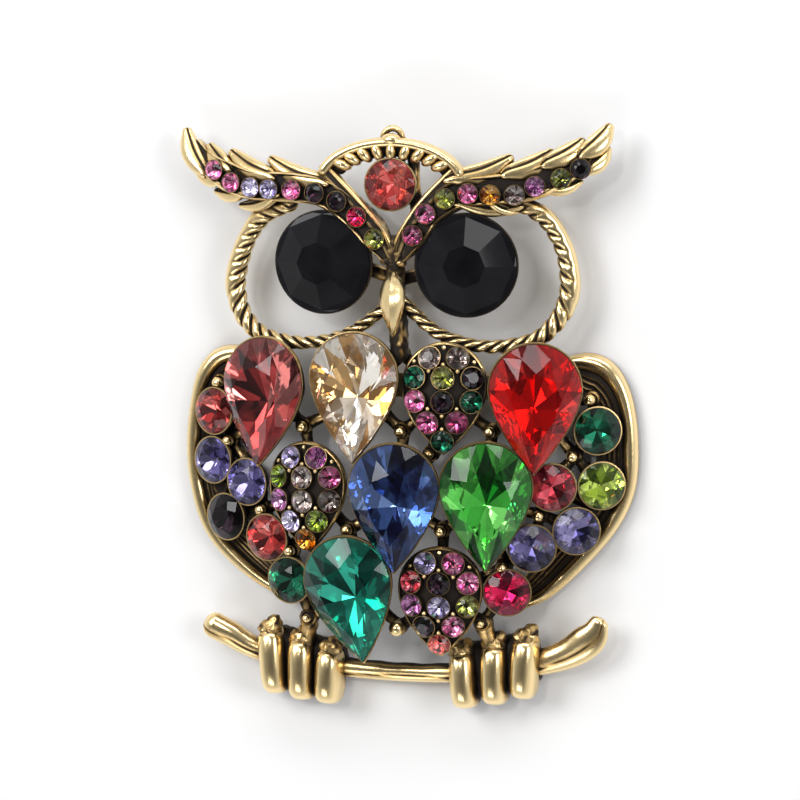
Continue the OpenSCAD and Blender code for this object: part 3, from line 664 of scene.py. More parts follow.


# Front tint, then the foil's dark, middle and light facets, of each colour of stone; the dark and light
# facets are painted shade and painted reflections
STONE_TINTS = {
    "garnet": ((0.84, 0.36, 0.35), (0.05, 0.01, 0.01), (0.5, 0.14, 0.14), (1, 0.64, 0.6)),
    "champagne": ((1, 0.98, 0.95), (0.52, 0.33, 0.15), (0.98, 0.93, 0.84), (1, 1, 1)),
    "siam_red": ((1, 0.05, 0.04), (0.34, 0.02, 0.02), (0.98, 0.12, 0.1), (1, 0.66, 0.62)),
    "sapphire": ((0.28, 0.38, 0.62), (0.01, 0.01, 0.04), (0.16, 0.25, 0.47), (0.56, 0.68, 0.92)),
    "fern_green": ((0.24, 0.7, 0.22), (0.01, 0.1, 0.02), (0.18, 0.56, 0.17), (0.72, 1, 0.58)),
    "emerald": ((0.05, 0.46, 0.37), (0.01, 0.06, 0.05), (0.06, 0.38, 0.31), (0.56, 1, 0.86)),
    "coral": ((0.88, 0.28, 0.27), (0.1, 0.02, 0.02), (0.62, 0.19, 0.18), (1, 0.66, 0.58)),
    "violet": ((0.42, 0.39, 0.64), (0.03, 0.02, 0.07), (0.28, 0.26, 0.43), (0.8, 0.77, 0.96)),
    "plum_black": ((0.1, 0.05, 0.08), (0.01, 0.01, 0.01), (0.05, 0.03, 0.04), (0.34, 0.28, 0.32)),
    "dark_green": ((0.04, 0.28, 0.19), (0.01, 0.03, 0.02), (0.05, 0.2, 0.14), (0.34, 0.76, 0.58)),
    "peridot": ((0.64, 0.76, 0.22), (0.07, 0.1, 0.02), (0.42, 0.52, 0.14), (0.92, 1, 0.62)),
    "rose": ((0.84, 0.22, 0.28), (0.12, 0.02, 0.03), (0.58, 0.16, 0.19), (1, 0.62, 0.64)),
    "tanzanite": ((0.36, 0.34, 0.54), (0.02, 0.02, 0.05), (0.23, 0.22, 0.35), (0.8, 0.77, 0.92)),
    "ruby": ((0.86, 0.08, 0.28), (0.12, 0.01, 0.04), (0.62, 0.07, 0.18), (1, 0.5, 0.6)),
    "pink": ((0.9, 0.38, 0.6), (0.14, 0.04, 0.09), (0.7, 0.28, 0.45), (1, 0.78, 0.9)),
    "lavender": ((0.74, 0.7, 0.88), (0.14, 0.12, 0.2), (0.56, 0.52, 0.68), (0.96, 0.94, 1)),
    "amethyst": ((0.7, 0.4, 0.64), (0.09, 0.03, 0.08), (0.5, 0.27, 0.46), (0.94, 0.76, 0.9)),
    "smoky": ((0.7, 0.64, 0.62), (0.07, 0.05, 0.05), (0.38, 0.33, 0.31), (0.92, 0.88, 0.85)),
    "olive": ((0.58, 0.6, 0.26), (0.07, 0.08, 0.02), (0.38, 0.4, 0.15), (0.86, 0.88, 0.58)),
    "amber": ((0.94, 0.58, 0.16), (0.2, 0.08, 0.01), (0.74, 0.4, 0.09), (1, 0.84, 0.5)),
}
STONE_MATERIALS = {kind: (glass_front(f"{kind} glass", front), foil_back(f"{kind} foil", *foil))
                   for kind, (front, *foil) in STONE_TINTS.items()}
JET = jet("jet glass")
STONE_MATERIALS["jet"] = (JET, JET)
GOLD = antique_gold("antique gold", (1.0, 0.78, 0.41), (0.80, 0.54, 0.22), (0.03, 0.018, 0.01))
PIN_GOLD = antique_gold("pin gold", (0.84, 0.66, 0.36), (0.60, 0.45, 0.22), (0.10, 0.07, 0.04), rough=0.3)

# Stones in their seats

PEAR_KINDS = ["garnet", "champagne", "siam_red", "sapphire", "fern_green", "emerald"]
SIDE_KINDS = (
    "coral violet violet plum_black coral dark_green dark_green peridot rose tanzanite tanzanite ruby"
).split()
BROW_KINDS = (
    "pink pink lavender lavender pink plum_black plum_black ruby olive pink pink olive pink amber smoky "
    "amethyst olive plum_black"
).split()
# Each drop's stones, from the top row down and from left to right
DROP_KINDS = [
    "lavender amethyst peridot smoky pink amethyst smoky smoky peridot lavender amber",
    "smoky smoky dark_green olive plum_black pink plum_black dark_green pink pink dark_green",
    "lavender pink rose plum_black pink amethyst lavender olive plum_black pink coral",
]
# Stones of a drop whose heights differ by less than this are in one row
DROP_ROW = 1.3


def numbered(kinds):
    """Side and number, from 1, of each of the kinds, the left side's first."""
    half = len(kinds) // 2
    return [f"{side}_{i + 1}" for side in ("left", "right") for i in range(half)]


def set_stones():
    for i, (seat, kind) in enumerate(zip(PEARS, PEAR_KINDS)):
        stone_object(f"pear_stone_{i + 1}", f"pear_{i + 1}", *brilliant_cut(seat, 0.56, 0.82, 0.5), kind)
    for side, seat in zip(("left", "right"), EYES):
        stone_object(f"eye_stone_{side}", f"eye_{side}", *wide_cut(seat), "jet")
    stone_object("forehead_stone_cut", "forehead_stone", *brilliant_cut(FOREHEAD, valley=0.5), "coral")
    for at, seat, kind in zip(numbered(SIDE_KINDS), SIDES, SIDE_KINDS):
        stone_object(f"side_stone_{at}", f"side_{at}", *brilliant_cut(seat, 0.52, valley=0.5), kind)
    for at, seat, kind in zip(numbered(BROW_KINDS), BROWS, BROW_KINDS):
        stone_object(f"brow_stone_{at}", f"brow_{at}", *brilliant_cut(seat, lift=SMALL_LIFT), kind)
    for d, (group, kinds) in enumerate(zip(DROPS, DROP_KINDS)):
        group.sort(key=lambda s: (-round(s.origin[1] / DROP_ROW), s.origin[0]))
        for i, (seat, kind) in enumerate(zip(group, kinds.split())):
            cut = brilliant_cut(seat, lift=SMALL_LIFT)
            stone_object(f"drop_{d + 1}_stone_{i + 1}", f"drop_stones_{d + 1}", *cut, kind)


set_stones()

# Cups, collars and drops


def swept_levels(metal, seat, outline, levels, height):
    """Rings of the outline, at rows that start with a share of it and end with a shade."""
    rings = []
    for row in levels:
        p = outline * row[0]
        rings.append(seat.place(np.column_stack([p, np.broadcast_to(height(row, p), len(p))])))
    metal.rings(rings, np.array([row[-1] for row in levels])[:, None])


# How dark a cup's lip is, and an eye's
LIP_SHADE, EYE_LIP_SHADE = 0.22, 0.6


def cup(metal, seat):
    """A thin-walled cup around a large stone, its lip just over the girdle."""
    lip = EYE_LIP_SHADE if seat in EYES else LIP_SHADE
    outer = 1 + 2 * CUP_LIP / seat.w
    edge = outer - 0.04 / seat.w
    inner = 1 + 0.4 * STONE_GAP / seat.w
    floor = -seat.depth - CUP_FLOOR
    # Share of the outline, height, shade: up the outside, over the lip and down inside
    levels = [(0.66, floor, 0.9), (0.78, floor * 0.75, 0.85), (outer * 0.94, floor * 0.25, 0.75),
              (outer, -0.3, 0.6), (outer, -0.06, lip + 0.25), (edge, 0.05, lip), (inner, 0.06, lip + 0.15),
              (inner, -0.06, 0.7), (0.5, -seat.depth * 0.5 - 0.12, 0.8), (0.03, -seat.depth - 0.2, 0.9)]
    swept_levels(metal, seat, outline_of(seat, CUP_SIDES), levels, lambda row, p: row[1])


def collar(metal, seat):
    """A small stone's cup: a turned ring standing on the metal behind it."""
    r = seat.w / 2
    deep = SMALL_LIFT - SMALL_DEPTH * seat.w - 0.12
    profile = [(0.3 * r, deep - 0.3, 0.9), (r + 0.02, deep - 0.2, 0.9), (r + 0.1, -0.2, 0.8),
               (r + 0.11, 0.2, 0.5), (r + 0.08, 0.3, 0.35), (r + 0.04, 0.3, 0.4), (r + 0.02, 0.2, 0.7),
               (r * 0.5, 0.5 * deep, 0.9), (0.03, deep, 0.9)]
    lathe(metal, seat.origin, seat.n, profile)


# A drop's height, its width and length in pitches of its stones, the gap between those, and the radius of its
# face as a share of the width, with how much less the long way counts
DROP_H = 3.2
DROP_W_PITCHES, DROP_L_PITCHES = 3.6, 4.75
DROP_STONE_GAP = 0.2
DROP_CURVE = 0.95
DROP_LONG_WAY = 0.72
# x, y and turn in degrees
DROP_PLACES = [(-0.88, -0.77, 2), (0.50, 0.27, 0), (0.46, -1.77, 0)]


class DropSeat:
    """A drop's own seat on the body, from the dome's curve."""

    place = Seat.place

    def __init__(self, x, y, turn, stones):
        self.origin = on_body(x, y)
        px, py = self.origin[0] + MID_X, self.origin[1] + MID_Y
        lean = Matrix.Rotation(atan(px / DOME_SIDE_R), 3, "Y")
        nod = Matrix.Rotation(-atan((py - DOME_Y) / DOME_LONG_R), 3, "X")
        axes = np.array(lean @ nod @ Matrix.Rotation(radians(turn), 3, "Z"))
        self.x, self.y, self.n = axes[:, 0], axes[:, 1], axes[:, 2]
        pitch = stones[0].w + DROP_STONE_GAP
        self.w, self.l = DROP_W_PITCHES * pitch, DROP_L_PITCHES * pitch
        self.stones = stones

    def face(self, x, y):
        """The height of the domed face."""
        return DROP_H - (x**2 + (DROP_LONG_WAY * y) ** 2) / (2 * DROP_CURVE * self.w)


def drop(metal, seat):
    # Share of the outline, height on the face or from the foot, which of the two, shade
    levels = [(0.72, 0.0, False, 0.9), (0.9, 1.1, False, 0.9), (1.0, -0.35, True, 0.7),
              (1.0, 0.02, True, 0.35), (0.98, 0.16, True, 0.15), (0.955, 0.12, True, 0.4),
              (0.94, -0.3, True, 0.95)]
    levels += [(share, -0.42, True, 0.72) for share in (0.86, 0.74, 0.6, 0.45, 0.3, 0.15)]
    swept_levels(metal, seat, pear_outline(seat.w, seat.l, CUP_SIDES, DROP_FLANK), levels,
                 lambda row, p: row[1] + (seat.face(p[:, 0], p[:, 1]) if row[2] else 0))
    for stone in seat.stones:
        collar(metal, stone)
    grains_between(metal, seat.stones)
    grains_around(metal, seat)


def grains_between(metal, stones):
    """A small ball in the middle of each three stones that lie side by side."""
    reach = 1.4 * stones[0].w
    for trio in itertools.combinations(stones, 3):
        if max(norm(a.origin - b.origin) for a, b in itertools.combinations(trio, 2)) < reach:
            middle = np.mean([stone.origin + 0.3 * stone.n for stone in trio], axis=0)
            ball(metal, middle, (0.3, 0.3, 0.34), n=trio[0].n, sides=10, dark=0.05)


def grains_around(metal, seat):
    """Small balls along the round end of a drop, where no stone is near."""
    for k in range(-5, 6):
        t = radians(90 + 17 * k)
        x = 0.9 * cos(t) * seat.w / 2
        y = 0.9 * (seat.l / 2 - seat.w / 2 + sin(t) * seat.w / 2)
        spot = seat.place([x, y, float(seat.face(x, y)) + 0.12])
        if min(norm(spot - stone.origin) for stone in seat.stones) > 1.5:
            ball(metal, spot, (0.26, 0.26, 0.28), n=seat.n, sides=8, dark=0.1)


# Webs of the body: x and y of each junction, its ball bead's size or 0, and the seats that it joins. P, D, L
# and R are the first pear, drop, left side stone and right side stone.

P, D, L, R = 0, 6, 9, 15
WEBS = [
    (-2, 0.31, 1, (P, L)), (-1, -0.07, 1, (P, P + 1, D)), (0.04, 0.7, 1, (P + 1, D + 1)),
    (0.06, -0.07, 1, (P + 1, P + 3, D + 1)), (-1.87, -0.28, 1, (P, L, L + 1, L + 2)),
    (-1.48, -0.96, 1, (L + 2, L + 4, L + 3, D)), (-1.15, -1.36, 1, (L + 4, L + 5, D)),
    (-0.51, -1.1, 1, (P + 3, P + 5, D)), (0.01, -2.09, 1.3, (P + 5, D + 2)),
    (0.96, -0.06, 1, (P + 2, P + 4, D + 1)), (1.92, 0.26, 1, (P + 2, R)),
    (1.76, -0.31, 1, (P + 2, R, R + 2, R + 1)), (0.36, -0.29, 0.8, (P + 3, D + 1)),
    (1.44, -0.91, 1, (P + 4, R + 2, R + 4, R + 3)), (1.08, -1.44, 1, (P + 4, R + 4, R + 5, D + 2)),
    (0.47, -1.07, 1, (P + 3, P + 4, D + 2)), (-1.98, -0.78, 0, (L + 1, L + 3, L + 2)),
    (1.95, -0.84, 0, (R + 1, R + 3, R + 2)), (-0.97, -2.05, 0.7, (P + 5, L + 5)),
    (0.86, -2.02, 0.7, (D + 2, R + 5)),
]


# A junction's turned boss, in rows of radius, height and shade, and how far its webs reach to a seat
BOSS = [
    (0.55, -0.6, 0.9), (0.85, -0.5, 0.9), (0.95, 0.2, 0.8), (0.9, 0.75, 0.55), (0.72, 0.95, 0.5),
    (0.5, 0.8, 0.9), (0.3, 0.8, 0.9),
]
WEB_REACH = 0.72


def webs(metal, drops):
    feet = [foot(s) for s in PEARS] + [d.origin for d in drops] + [foot(s) for s in SIDES]
    for x, y, _, joined in WEBS:
        at = on_body(x, y)
        for to in (feet[k] for k in joined):
            rows = []
            for t in np.linspace(0, WEB_REACH, 9):
                waist = 1 - 0.3 * sin(pi * min(1, 2 * t))
                rows.append([*(at * (1 - t) + to * t), WEB_W * waist, WEB_T])
            tube(metal, rows, sides=16, relief=worn_and_highlit_top)
        lathe(metal, at, UP, BOSS, sides=20)


def worn_and_highlit_top(run, angles):
    """Dark metal with a line along its top that is oxide worn off and also a painted highlight."""
    return 0, 0.88 - 0.7 * clamp(np.sin(angles)) ** 8


def web_beads(metal):
    for x, y, size, _ in WEBS:
        if size:
            r = size * BEAD_D / 2
            ball(metal, on_body(x, y) + UP * (WEB_T + 0.25 * BEAD_D), (r, r, r), sides=20)


# Swept metal, in shares. A wing's rows are x, y and width, a rim's and a brow's x and y, and the others' x,
# y, height and width. x and y are in cells on a wing and in the face's units on the head.

WING_LEFT = [
    (-1.55, 0.62, 0.5), (-1.94, 0.6, 1.1), (-2.14, 0.46, 1.1), (-2.25, 0.19, 1), (-2.31, -0.3, 1),
    (-2.28, -0.75, 1), (-2.14, -1.2, 1), (-1.86, -1.53, 1), (-1.46, -1.81, 0.8), (-1.05, -1.93, 0.5),
]
WING_RIGHT = [
    (1.55, 0.6, 0.5), (1.86, 0.62, 1.2), (2.08, 0.52, 1.2), (2.24, 0.24, 1), (2.3, -0.2, 1), (2.27, -0.66, 1),
    (2.09, -1.05, 1), (1.75, -1.45, 1), (1.4, -1.78, 0.8), (1.05, -1.93, 0.5),
]
RIM_LEFT = [
    (-1.04, 1.32), (-1.33, 1.21), (-1.51, 0.98), (-1.61, 0.71), (-1.63, 0.49), (-1.55, 0.26), (-1.37, 0.1),
    (-1.12, 0.04), (-0.86, 0.04), (-0.58, 0.1), (-0.34, 0.22), (-0.03, 0.46),
]
RIM_RIGHT = [
    (1.1, 1.38), (1.35, 1.24), (1.51, 0.98), (1.57, 0.71), (1.56, 0.5), (1.47, 0.3), (1.3, 0.13),
    (1.06, 0.06), (0.78, 0.05), (0.51, 0.11), (0.31, 0.22), (0.06, 0.46),
]
# Height and width along either rim
RIM_SIZES = [
    (0.38, 0.8), (0.27, 1), (0.24, 1), (0.24, 1.1), (0.24, 1.1), (0.24, 1), (0.24, 0.9), (0.24, 0.8),
    (0.24, 0.7), (0.27, 0.7), (0.35, 0.7), (0.43, 0.7),
]
BROW_LEFT = [
    (-0.02, 0.82), (-0.17, 1.05), (-0.36, 1.25), (-0.65, 1.44), (-0.97, 1.49), (-1.39, 1.5), (-1.66, 1.58),
    (-1.87, 1.7), (-2, 1.86),
]
BROW_RIGHT = [
    (0.04, 0.82), (0.2, 1.07), (0.36, 1.3), (0.62, 1.46), (0.92, 1.5), (1.23, 1.54), (1.49, 1.65),
    (1.69, 1.77), (1.81, 1.91),
]
# Height, width and thickness along either brow
BROW_SIZES = [
    (0.72, 0.3, 0.5), (0.56, 0.95, 0.9), (0.52, 1, 0.9), (0.52, 1.05, 0.9), (0.52, 1.1, 0.9),
    (0.52, 1.1, 0.9), (0.52, 1.1, 0.9), (0.52, 0.8, 0.85), (0.5, 0.3, 0.5),
]
# Feathers: root x and y, tip x and y, width
FEATHERS = [
    (-1.91, 1.63, -2.11, 1.96, 1.1), (-1.65, 1.65, -1.85, 1.83, 1), (-1.22, 1.59, -1.61, 1.78, 1.1),
    (-0.7, 1.55, -1.2, 1.73, 1.1), (-1.74, 1.53, -2, 1.63, 0.8), (-1.49, 1.44, -1.78, 1.42, 0.8),
    (-1.15, 1.42, -1.52, 1.3, 0.7), (1.74, 1.83, 1.93, 2.06, 1.1), (1.76, 1.69, 1.92, 1.86, 0.9),
    (1.42, 1.74, 1.69, 1.93, 1.1), (1.07, 1.65, 1.42, 1.83, 1.1), (0.57, 1.6, 1.05, 1.78, 1.1),
    (0.65, 1.38, 1.16, 1.35, 0.7), (0.92, 1.39, 1.12, 1.3, 0.6), (1.42, 1.52, 1.68, 1.57, 0.7),
]
V_LEFT = [(-0.66, 1.67, 0.81, 1), (-0.35, 1.37, 0.86, 1), (-0.12, 1.11, 0.89, 0.9), (0.01, 0.87, 0.86, 0.8)]
V_RIGHT = [(0.60, 1.68, 0.81, 1), (0.31, 1.38, 0.86, 1), (0.12, 1.11, 0.89, 0.9), (0.01, 0.86, 0.86, 0.8)]
STRUT = [(0.16, 1.86, 0.43, 1), (0.17, 1.51, 0.38, 1), (0.20, 1.15, 0.43, 1)]
SPINE = [(0.00, 1.00, 0.55, 1), (0.01, 0.60, 0.55, 1), (0.03, 0.25, 0.55, 1), (0.04, -0.03, 0.55, 1)]
# The brow's section, a channel for its stones with a wider lip towards the eye, and the shades around it
CHANNEL = [
    (1, -0.3), (0.99, 0.45), (0.97, 0.78), (0.9, 0.98), (0.8, 1.1), (0.7, 1.04), (0.63, 0.8), (0, 0.8),
    (-0.66, 0.8), (-0.76, 1), (-0.84, 1.08), (-0.94, 0.98), (-0.99, 0.5), (-1, -0.3), (-0.7, -1), (0.7, -1),
]
CHANNEL_DARK = [0.6, 0.3, 0.05, 0, 0, 0.15, 0.8, 0.85, 0.85, 0.4, 0.15, 0.1, 0.4, 0.6, 0.7, 0.7]


def head_rows(rows, w, h):
    """A tube's rows on the head, from rows of x, y, height and one or two sizes."""
    out = []
    for x, y, z, *sizes in rows:
        out.append([*(on_head(x, y) + UP * z * BROW_H), sizes[0] * w, sizes[-1] * h])
    return out


# A rim's rope: its strands' pitch, depth and turns, and the run up to which its outer side is rubbed smooth
ROPE_PITCH, ROPE_DEPTH, ROPE_LEAN = 1.6, 0.46, 3
RIM_TWISTED = 13


def rope(outward):
    """A twisted rope's relief. outward is 1 or -1, the side that is rubbed smooth."""
    def relief(run, angles):
        groove = 1 - np.abs(np.sin(pi * (run / ROPE_PITCH + outward * ROPE_LEAN * angles / TURN)))
        smooth_side = 0.5 + 0.5 * np.cos(angles) * outward
        rubbed = 1 - clamp((run - RIM_TWISTED) / 3)
        share = 1 - rubbed * clamp((smooth_side - 0.33) * 2.2)
        return -ROPE_DEPTH * groove**1.6 * share, clamp(groove * 2.4 - 0.9) * share
    return relief


def rims(metal):
    for line, outward in ((RIM_LEFT, 1), (RIM_RIGHT, -1)):
        wire = head_rows([(*xy, *size, 1) for xy, size in zip(line, RIM_SIZES)], RIM_W, RIM_T)
        tube(metal, wire, 18, sides=28, relief=rope(outward))


def brow_path(line, w, h):
    return smooth_path(head_rows([(*xy, *size) for xy, size in zip(line, BROW_SIZES)], w, h), 8)


def brows(metal):
    for line, side in ((BROW_LEFT, -1), (BROW_RIGHT, 1)):
        section = [(x * side, y) for x, y in CHANNEL]
        tube(metal, brow_path(line, BROW_W, BROW_H), section=section, dark=CHANNEL_DARK)


# How far a feather's root stands off the brow's middle, how much it bows, and its width beside the solid's
FEATHER_SHIFT = 0.12
FEATHER_BOW = 0.09
FEATHER_FULL = 1.7


def feathers(metal):
    brow_line = np.concatenate([brow_path(line, 1, 1)[:, :2] for line in (BROW_LEFT, BROW_RIGHT)])
    for x0, y0, x1, y1, width in FEATHERS:
        root, tip = on_head(x0, y0), on_head(x1, y1)
        outward = 1 if x1 > 0 else -1
        bow = outward * FEATHER_BOW * np.array([-(tip - root)[1], (tip - root)[0], 0])
        from_brow = root[:2] - brow_line[norm(brow_line - root[:2], axis=1).argmin()]
        root[:2] += FEATHER_SHIFT * from_brow / max(norm(from_brow), 0.1)
        w = FEATHER_FULL * width * FEATHER_W
        rows = []
        for t in np.linspace(-0.12, 1, 26):
            p = root * (1 - t) + tip * t - bow * sin(pi * max(t, 0))
            up = (0.78 - 0.16 * t * abs(t)) * BROW_H
            full = max(0.1, sin(pi * (0.17 + 0.74 * t))) ** 0.55
            rows.append([*(p + UP * up), w * full, 0.5 * BROW_H * (1 - 0.35 * t)])
        tube(metal, rows, sides=24, power=2.4, relief=creased(outward))


def creased(side):
    """A feather's relief: a dark crease beside its top, and painted shade on its underside."""
    def relief(run, angles):
        line = bell(angles - pi * (0.5 + 0.15 * side), 0.24)
        return -0.24 * line, clamp(1.05 * line + 0.8 * clamp(-np.sin(angles)))
    return relief


def vee(metal):
    for rows in (V_LEFT, V_RIGHT):
        tube(metal, head_rows(rows, 1.15 * FEATHER_W, FEATHER_W), 10, sides=24, relief=grooved)


def grooved(run, angles):
    """A dark groove along the top between two bright edges, and painted shade on its underside."""
    line = bell(angles - pi / 2, 0.42)
    return -0.22 * line, clamp(0.15 + 1.1 * line + 0.8 * clamp(-np.sin(angles)))


# The crest's half width and height in the face's units, half the angle of its arc and of its dark band, and
# its beads: their number, half the angle that they cover, and half axes
CREST_REACH = np.array([0.68, 0.385])
CREST_HALF, BAND_HALF = 73, 64
FOREHEAD_PLACE = (-0.02, 1.54)
CREST_BEADS = 9
CREST_SPREAD = 56
BEAD_SIZE = (0.64, 1.2, 0.85)


def crest_point(degrees, share, up=0.0):
    """A place over the forehead stone, at a share of the crest's reach and raised by so many millimetres."""
    t = radians(degrees)
    reach = CREST_REACH * FACE * share
    offset = np.array([cos(t) * reach[0], sin(t) * reach[1], 0.5 * BROW_H + up])
    return on_head(*FOREHEAD_PLACE) + offset


def fan(half, count):
    return np.linspace(90 - half, 90 + half, count)


def crest(metal):
    tube(metal, [[*crest_point(t, 0.99, 0.85), 1.2, 1.6] for t in fan(CREST_HALF, 50)], sides=18)
    tube(metal, [[*crest_point(t, 0.86, 0.3), 2.0, 1.3] for t in fan(BAND_HALF, 44)], sides=16, dark=0.92)
    for t in fan(CREST_SPREAD, CREST_BEADS):
        outer, inner = crest_point(t, 0.9, 0.95), crest_point(t, 0.7, 0.95)
        way = (inner - outer) / norm(inner - outer)
        ball(metal, outer + way * 0.5, BEAD_SIZE, y=way, sides=20)


BAIL_R, BAIL_WIRE_R = 1.05, 0.36


def bail(metal):
    centre = crest_point(90, 1.06, 0.35) + [0, 0.14, 0]
    rings = [centre + out * BAIL_R + circle(14, out, UP) * BAIL_WIRE_R for out in circle(28, EAST, NORTH)]
    metal.rings(rings, 0.15, loop=True)
    ball(metal, crest_point(90, 1.0, 1.0) + [0, 0.25, 0], (1.15, 0.75, 0.8), sides=18, dark=0.1)


# Where the bars behind the eyes start, and the lumps of solder where the brows meet
EYE_BAR = (0.02, 0.65)
SOLDER = ((-0.02, 0.93), (0.05, 0.9), (0.0, 0.8), (-0.06, 0.84), (0.08, 0.82))


def spine(metal):
    bar = head_rows([(*row, 1) for row in SPINE], 1.4 * FEATHER_W, 0.9 * BROW_H)
    tube(metal, bar, 16, sides=24, dark=0.72)
    for seat in EYES:
        start, end = on_head(*EYE_BAR), foot(seat)
        rows = [[*(start * (1 - t) + end * t), 1.5, 1.2] for t in np.linspace(0, 1, 8)]
        tube(metal, rows, sides=12, dark=0.6)
    tube(metal, head_rows(STRUT, FEATHER_W, FEATHER_W), 16, sides=16, dark=0.3)
    for x, y in SOLDER:
        ball(metal, on_head(x, y) + UP * 0.86 * BROW_H, (0.6, 0.5, 0.55), sides=16, dark=0.6)


# The beak's rows along its length: y, height, width and thickness
BEAK = [
    (0.5, -0.02, 0.34, 0.16), (0.42, 0, 0.68, 0.22), (0.28, 0.02, 0.98, 0.27), (0.12, 0.05, 1.02, 0.3),
    (-0.08, 0.05, 0.82, 0.28), (-0.28, 0.02, 0.52, 0.22), (-0.44, -0.04, 0.24, 0.15),
    (-0.5, -0.06, 0.08, 0.1),
]
BEAK_PLACE = (0.015, 0.42)


def beak(metal):
    root = on_head(*BEAK_PLACE) + UP * BROW_H
    rows = [[*(root + [0, y * BEAK_L, z * BEAK_L]), 1.08 * w * BEAK_W, h * BEAK_L] for y, z, w, h in BEAK]
    tube(metal, rows, 8, sides=32, power=1.55, relief=ridged)


def ridged(run, angles):
    """A slight ridge along the top, and painted shade on its underside."""
    return 0.12 * bell(angles - pi / 2, 0.22), clamp(-np.sin(angles)) * 0.7


# A wing's section, from its raised edge to the lined sheet inside, and the shades around it
WING_SECTION = [
    (1, -0.2), (0.92, 0.35), (0.6, 0.85), (0.1, 1.02), (-0.4, 0.95), (-0.8, 0.62), (-1, 0.3), (-1.3, 0.42),
    (-1.5, 0.75), (-1.8, 0.62), (-2.05, 0.9), (-2.4, 0.8), (-2.65, 1.1), (-3, 1), (-3.3, 1.4), (-3.7, 1.35),
    (-4.2, 1.6), (-4.2, 0.9), (-0.8, -1), (0.7, -1),
]
WING_DARK = [0.3, 0.05, 0, 0, 0, 0.1, 0.8, 0.9, 0.3, 0.9, 0.3, 0.9, 0.3, 0.9, 0.3, 0.9, 0.6, 0.8, 0.7, 0.6]


def wings(metal):
    for rows, side in ((WING_LEFT, 1), (WING_RIGHT, -1)):
        path = [[*on_plane(x, y, 0.5 * WING_T), w * WING_W, WING_T] for x, y, w in rows]
        section = [(x * side, y) for x, y in WING_SECTION]
        tube(metal, path, 12, section=section, dark=WING_DARK, ends=0)


# Toes: x, y, turn in degrees and length. A toe's rows along its length: y, height, width and thickness.
TOES = [
    (-1.39, -2.55, -4, 1), (-1.09, -2.62, 0, 0.95), (-0.8, -2.68, 4, 0.85), (0.63, -2.65, -4, 0.87),
    (0.95, -2.58, 0, 0.92), (1.26, -2.5, 4, 0.94),
]
TOE_SECTIONS = [
    (0.5, 0.52, 0.74, 0.55), (0.42, 0.55, 0.96, 0.74), (0.25, 0.55, 1.08, 0.86), (0, 0.53, 1.1, 0.94),
    (-0.2, 0.51, 1.08, 0.96), (-0.36, 0.49, 1, 0.88), (-0.45, 0.46, 0.84, 0.7), (-0.49, 0.44, 0.62, 0.48),
    (-0.51, 0.42, 0.3, 0.22),
]
# The perch: x, y, height, width and thickness. The legs: x and y at the body and at the foot.
PERCH = [
    (-2.06, -2.22, 0.46, 1.25, 1), (-1.89, -2.3, 0.45, 1.2, 1), (-1.5, -2.48, 0.39, 1, 0.95),
    (-0.55, -2.6, 0.38, 0.95, 0.95), (0.5, -2.6, 0.38, 0.95, 0.95), (1.47, -2.43, 0.41, 1.25, 0.9),
    (1.9, -2.2, 0.52, 1.55, 0.8), (2.03, -2, 0.57, 0.9, 0.5),
]
LEGS = [(-0.98, -2.06, -1.06, -2.50), (0.86, -2.02, 0.98, -2.50)]


def toes(metal):
    for x, y, turn, length in TOES:
        at, way = on_plane(x, y), heading(turn) * length * TOE_L
        rows = [[*(at + way * s + UP * z * TOE_H), w * TOE_W, h * TOE_H] for s, z, w, h in TOE_SECTIONS]
        tube(metal, rows, 6, sides=36, power=2.5, relief=painted_underside_shade, ends=0)


# A toe's relief: no height, and painted shade darkening it towards its underside
def painted_underside_shade(run, angles):
    return 0, np.clip(1.2 * (0.05 - np.sin(angles)), 0, 0.7)


# A toe's knuckles: share of its length, x and height in millimetres, half axes, sides and shade
KNUCKLES = [
    (0.5, 0, -0.15, (1.35, 1.1, 1), 36, 0.45), (0.6, 0.5, -0.4, (0.9, 0.9, 0.9), 26, 0.6),
    (0.4, -0.35, 0.35, (0.8, 0.7, 0.6), 24, 0.45),
]


def knuckles(metal):
    for x, y, turn, length in TOES:
        at, way = on_plane(x, y, 0.72 * TOE_H), heading(turn) * length * TOE_L
        for share, right_by, up_by, size, sides, dark in KNUCKLES:
            ball(metal, at + way * share + [right_by, 0, up_by], size, sides=sides, dark=dark)
    for foot_toes in (TOES[:3], TOES[3:]):
        rows = [[*(on_plane(x, y, 0.36 * TOE_H) + [0, 0.12 * TOE_L, 0]), 0.8 * TOE_L, 0.64 * TOE_H]
                for x, y, _, _ in foot_toes]
        tube(metal, rows, 12, sides=40, power=3, dark=0.85)


# The stretch of the perch between the feet
BAR_RUN = (14.5, 29)


def perch(metal):
    rows = [[*on_plane(x, y, z * TOE_H), w * PERCH_D, h * PERCH_D] for x, y, z, w, h in PERCH]
    tube(metal, rows, 12, sides=28, relief=bark)


def bark(run, angles):
    """A winding dark line, painted shade on its underside and along its back, most between the feet, and
    notches along the back that are deepest between the feet.
    """
    line = bell(angles - 1.1 - 0.25 * sin(run / 3), 0.16)
    under = clamp(-np.sin(angles) - 0.2)
    back = clamp(-1.6 * np.cos(angles) - 0.5)
    between = 1 if BAR_RUN[0] < run < BAR_RUN[1] else 0.15
    notch = (0.5 + 0.5 * sin(4.1 * run) * sin(2.3 * run + 1)) * between
    return -0.1 * line - 0.22 * back * notch, clamp(0.8 * line + 0.8 * under + 0.85 * back * between)


def legs(metal):
    for x0, y0, x1, y1 in LEGS:
        a, b = on_body(x0, y0), on_plane(x1, y1, 0.5 * TOE_H)
        rows = [[*(a * (1 - t) + b * t), 2.2 - 0.5 * sin(pi * t), 2.0]
                for t in np.linspace(0, 1, 14)]
        tube(metal, rows, sides=20, dark=0.5)


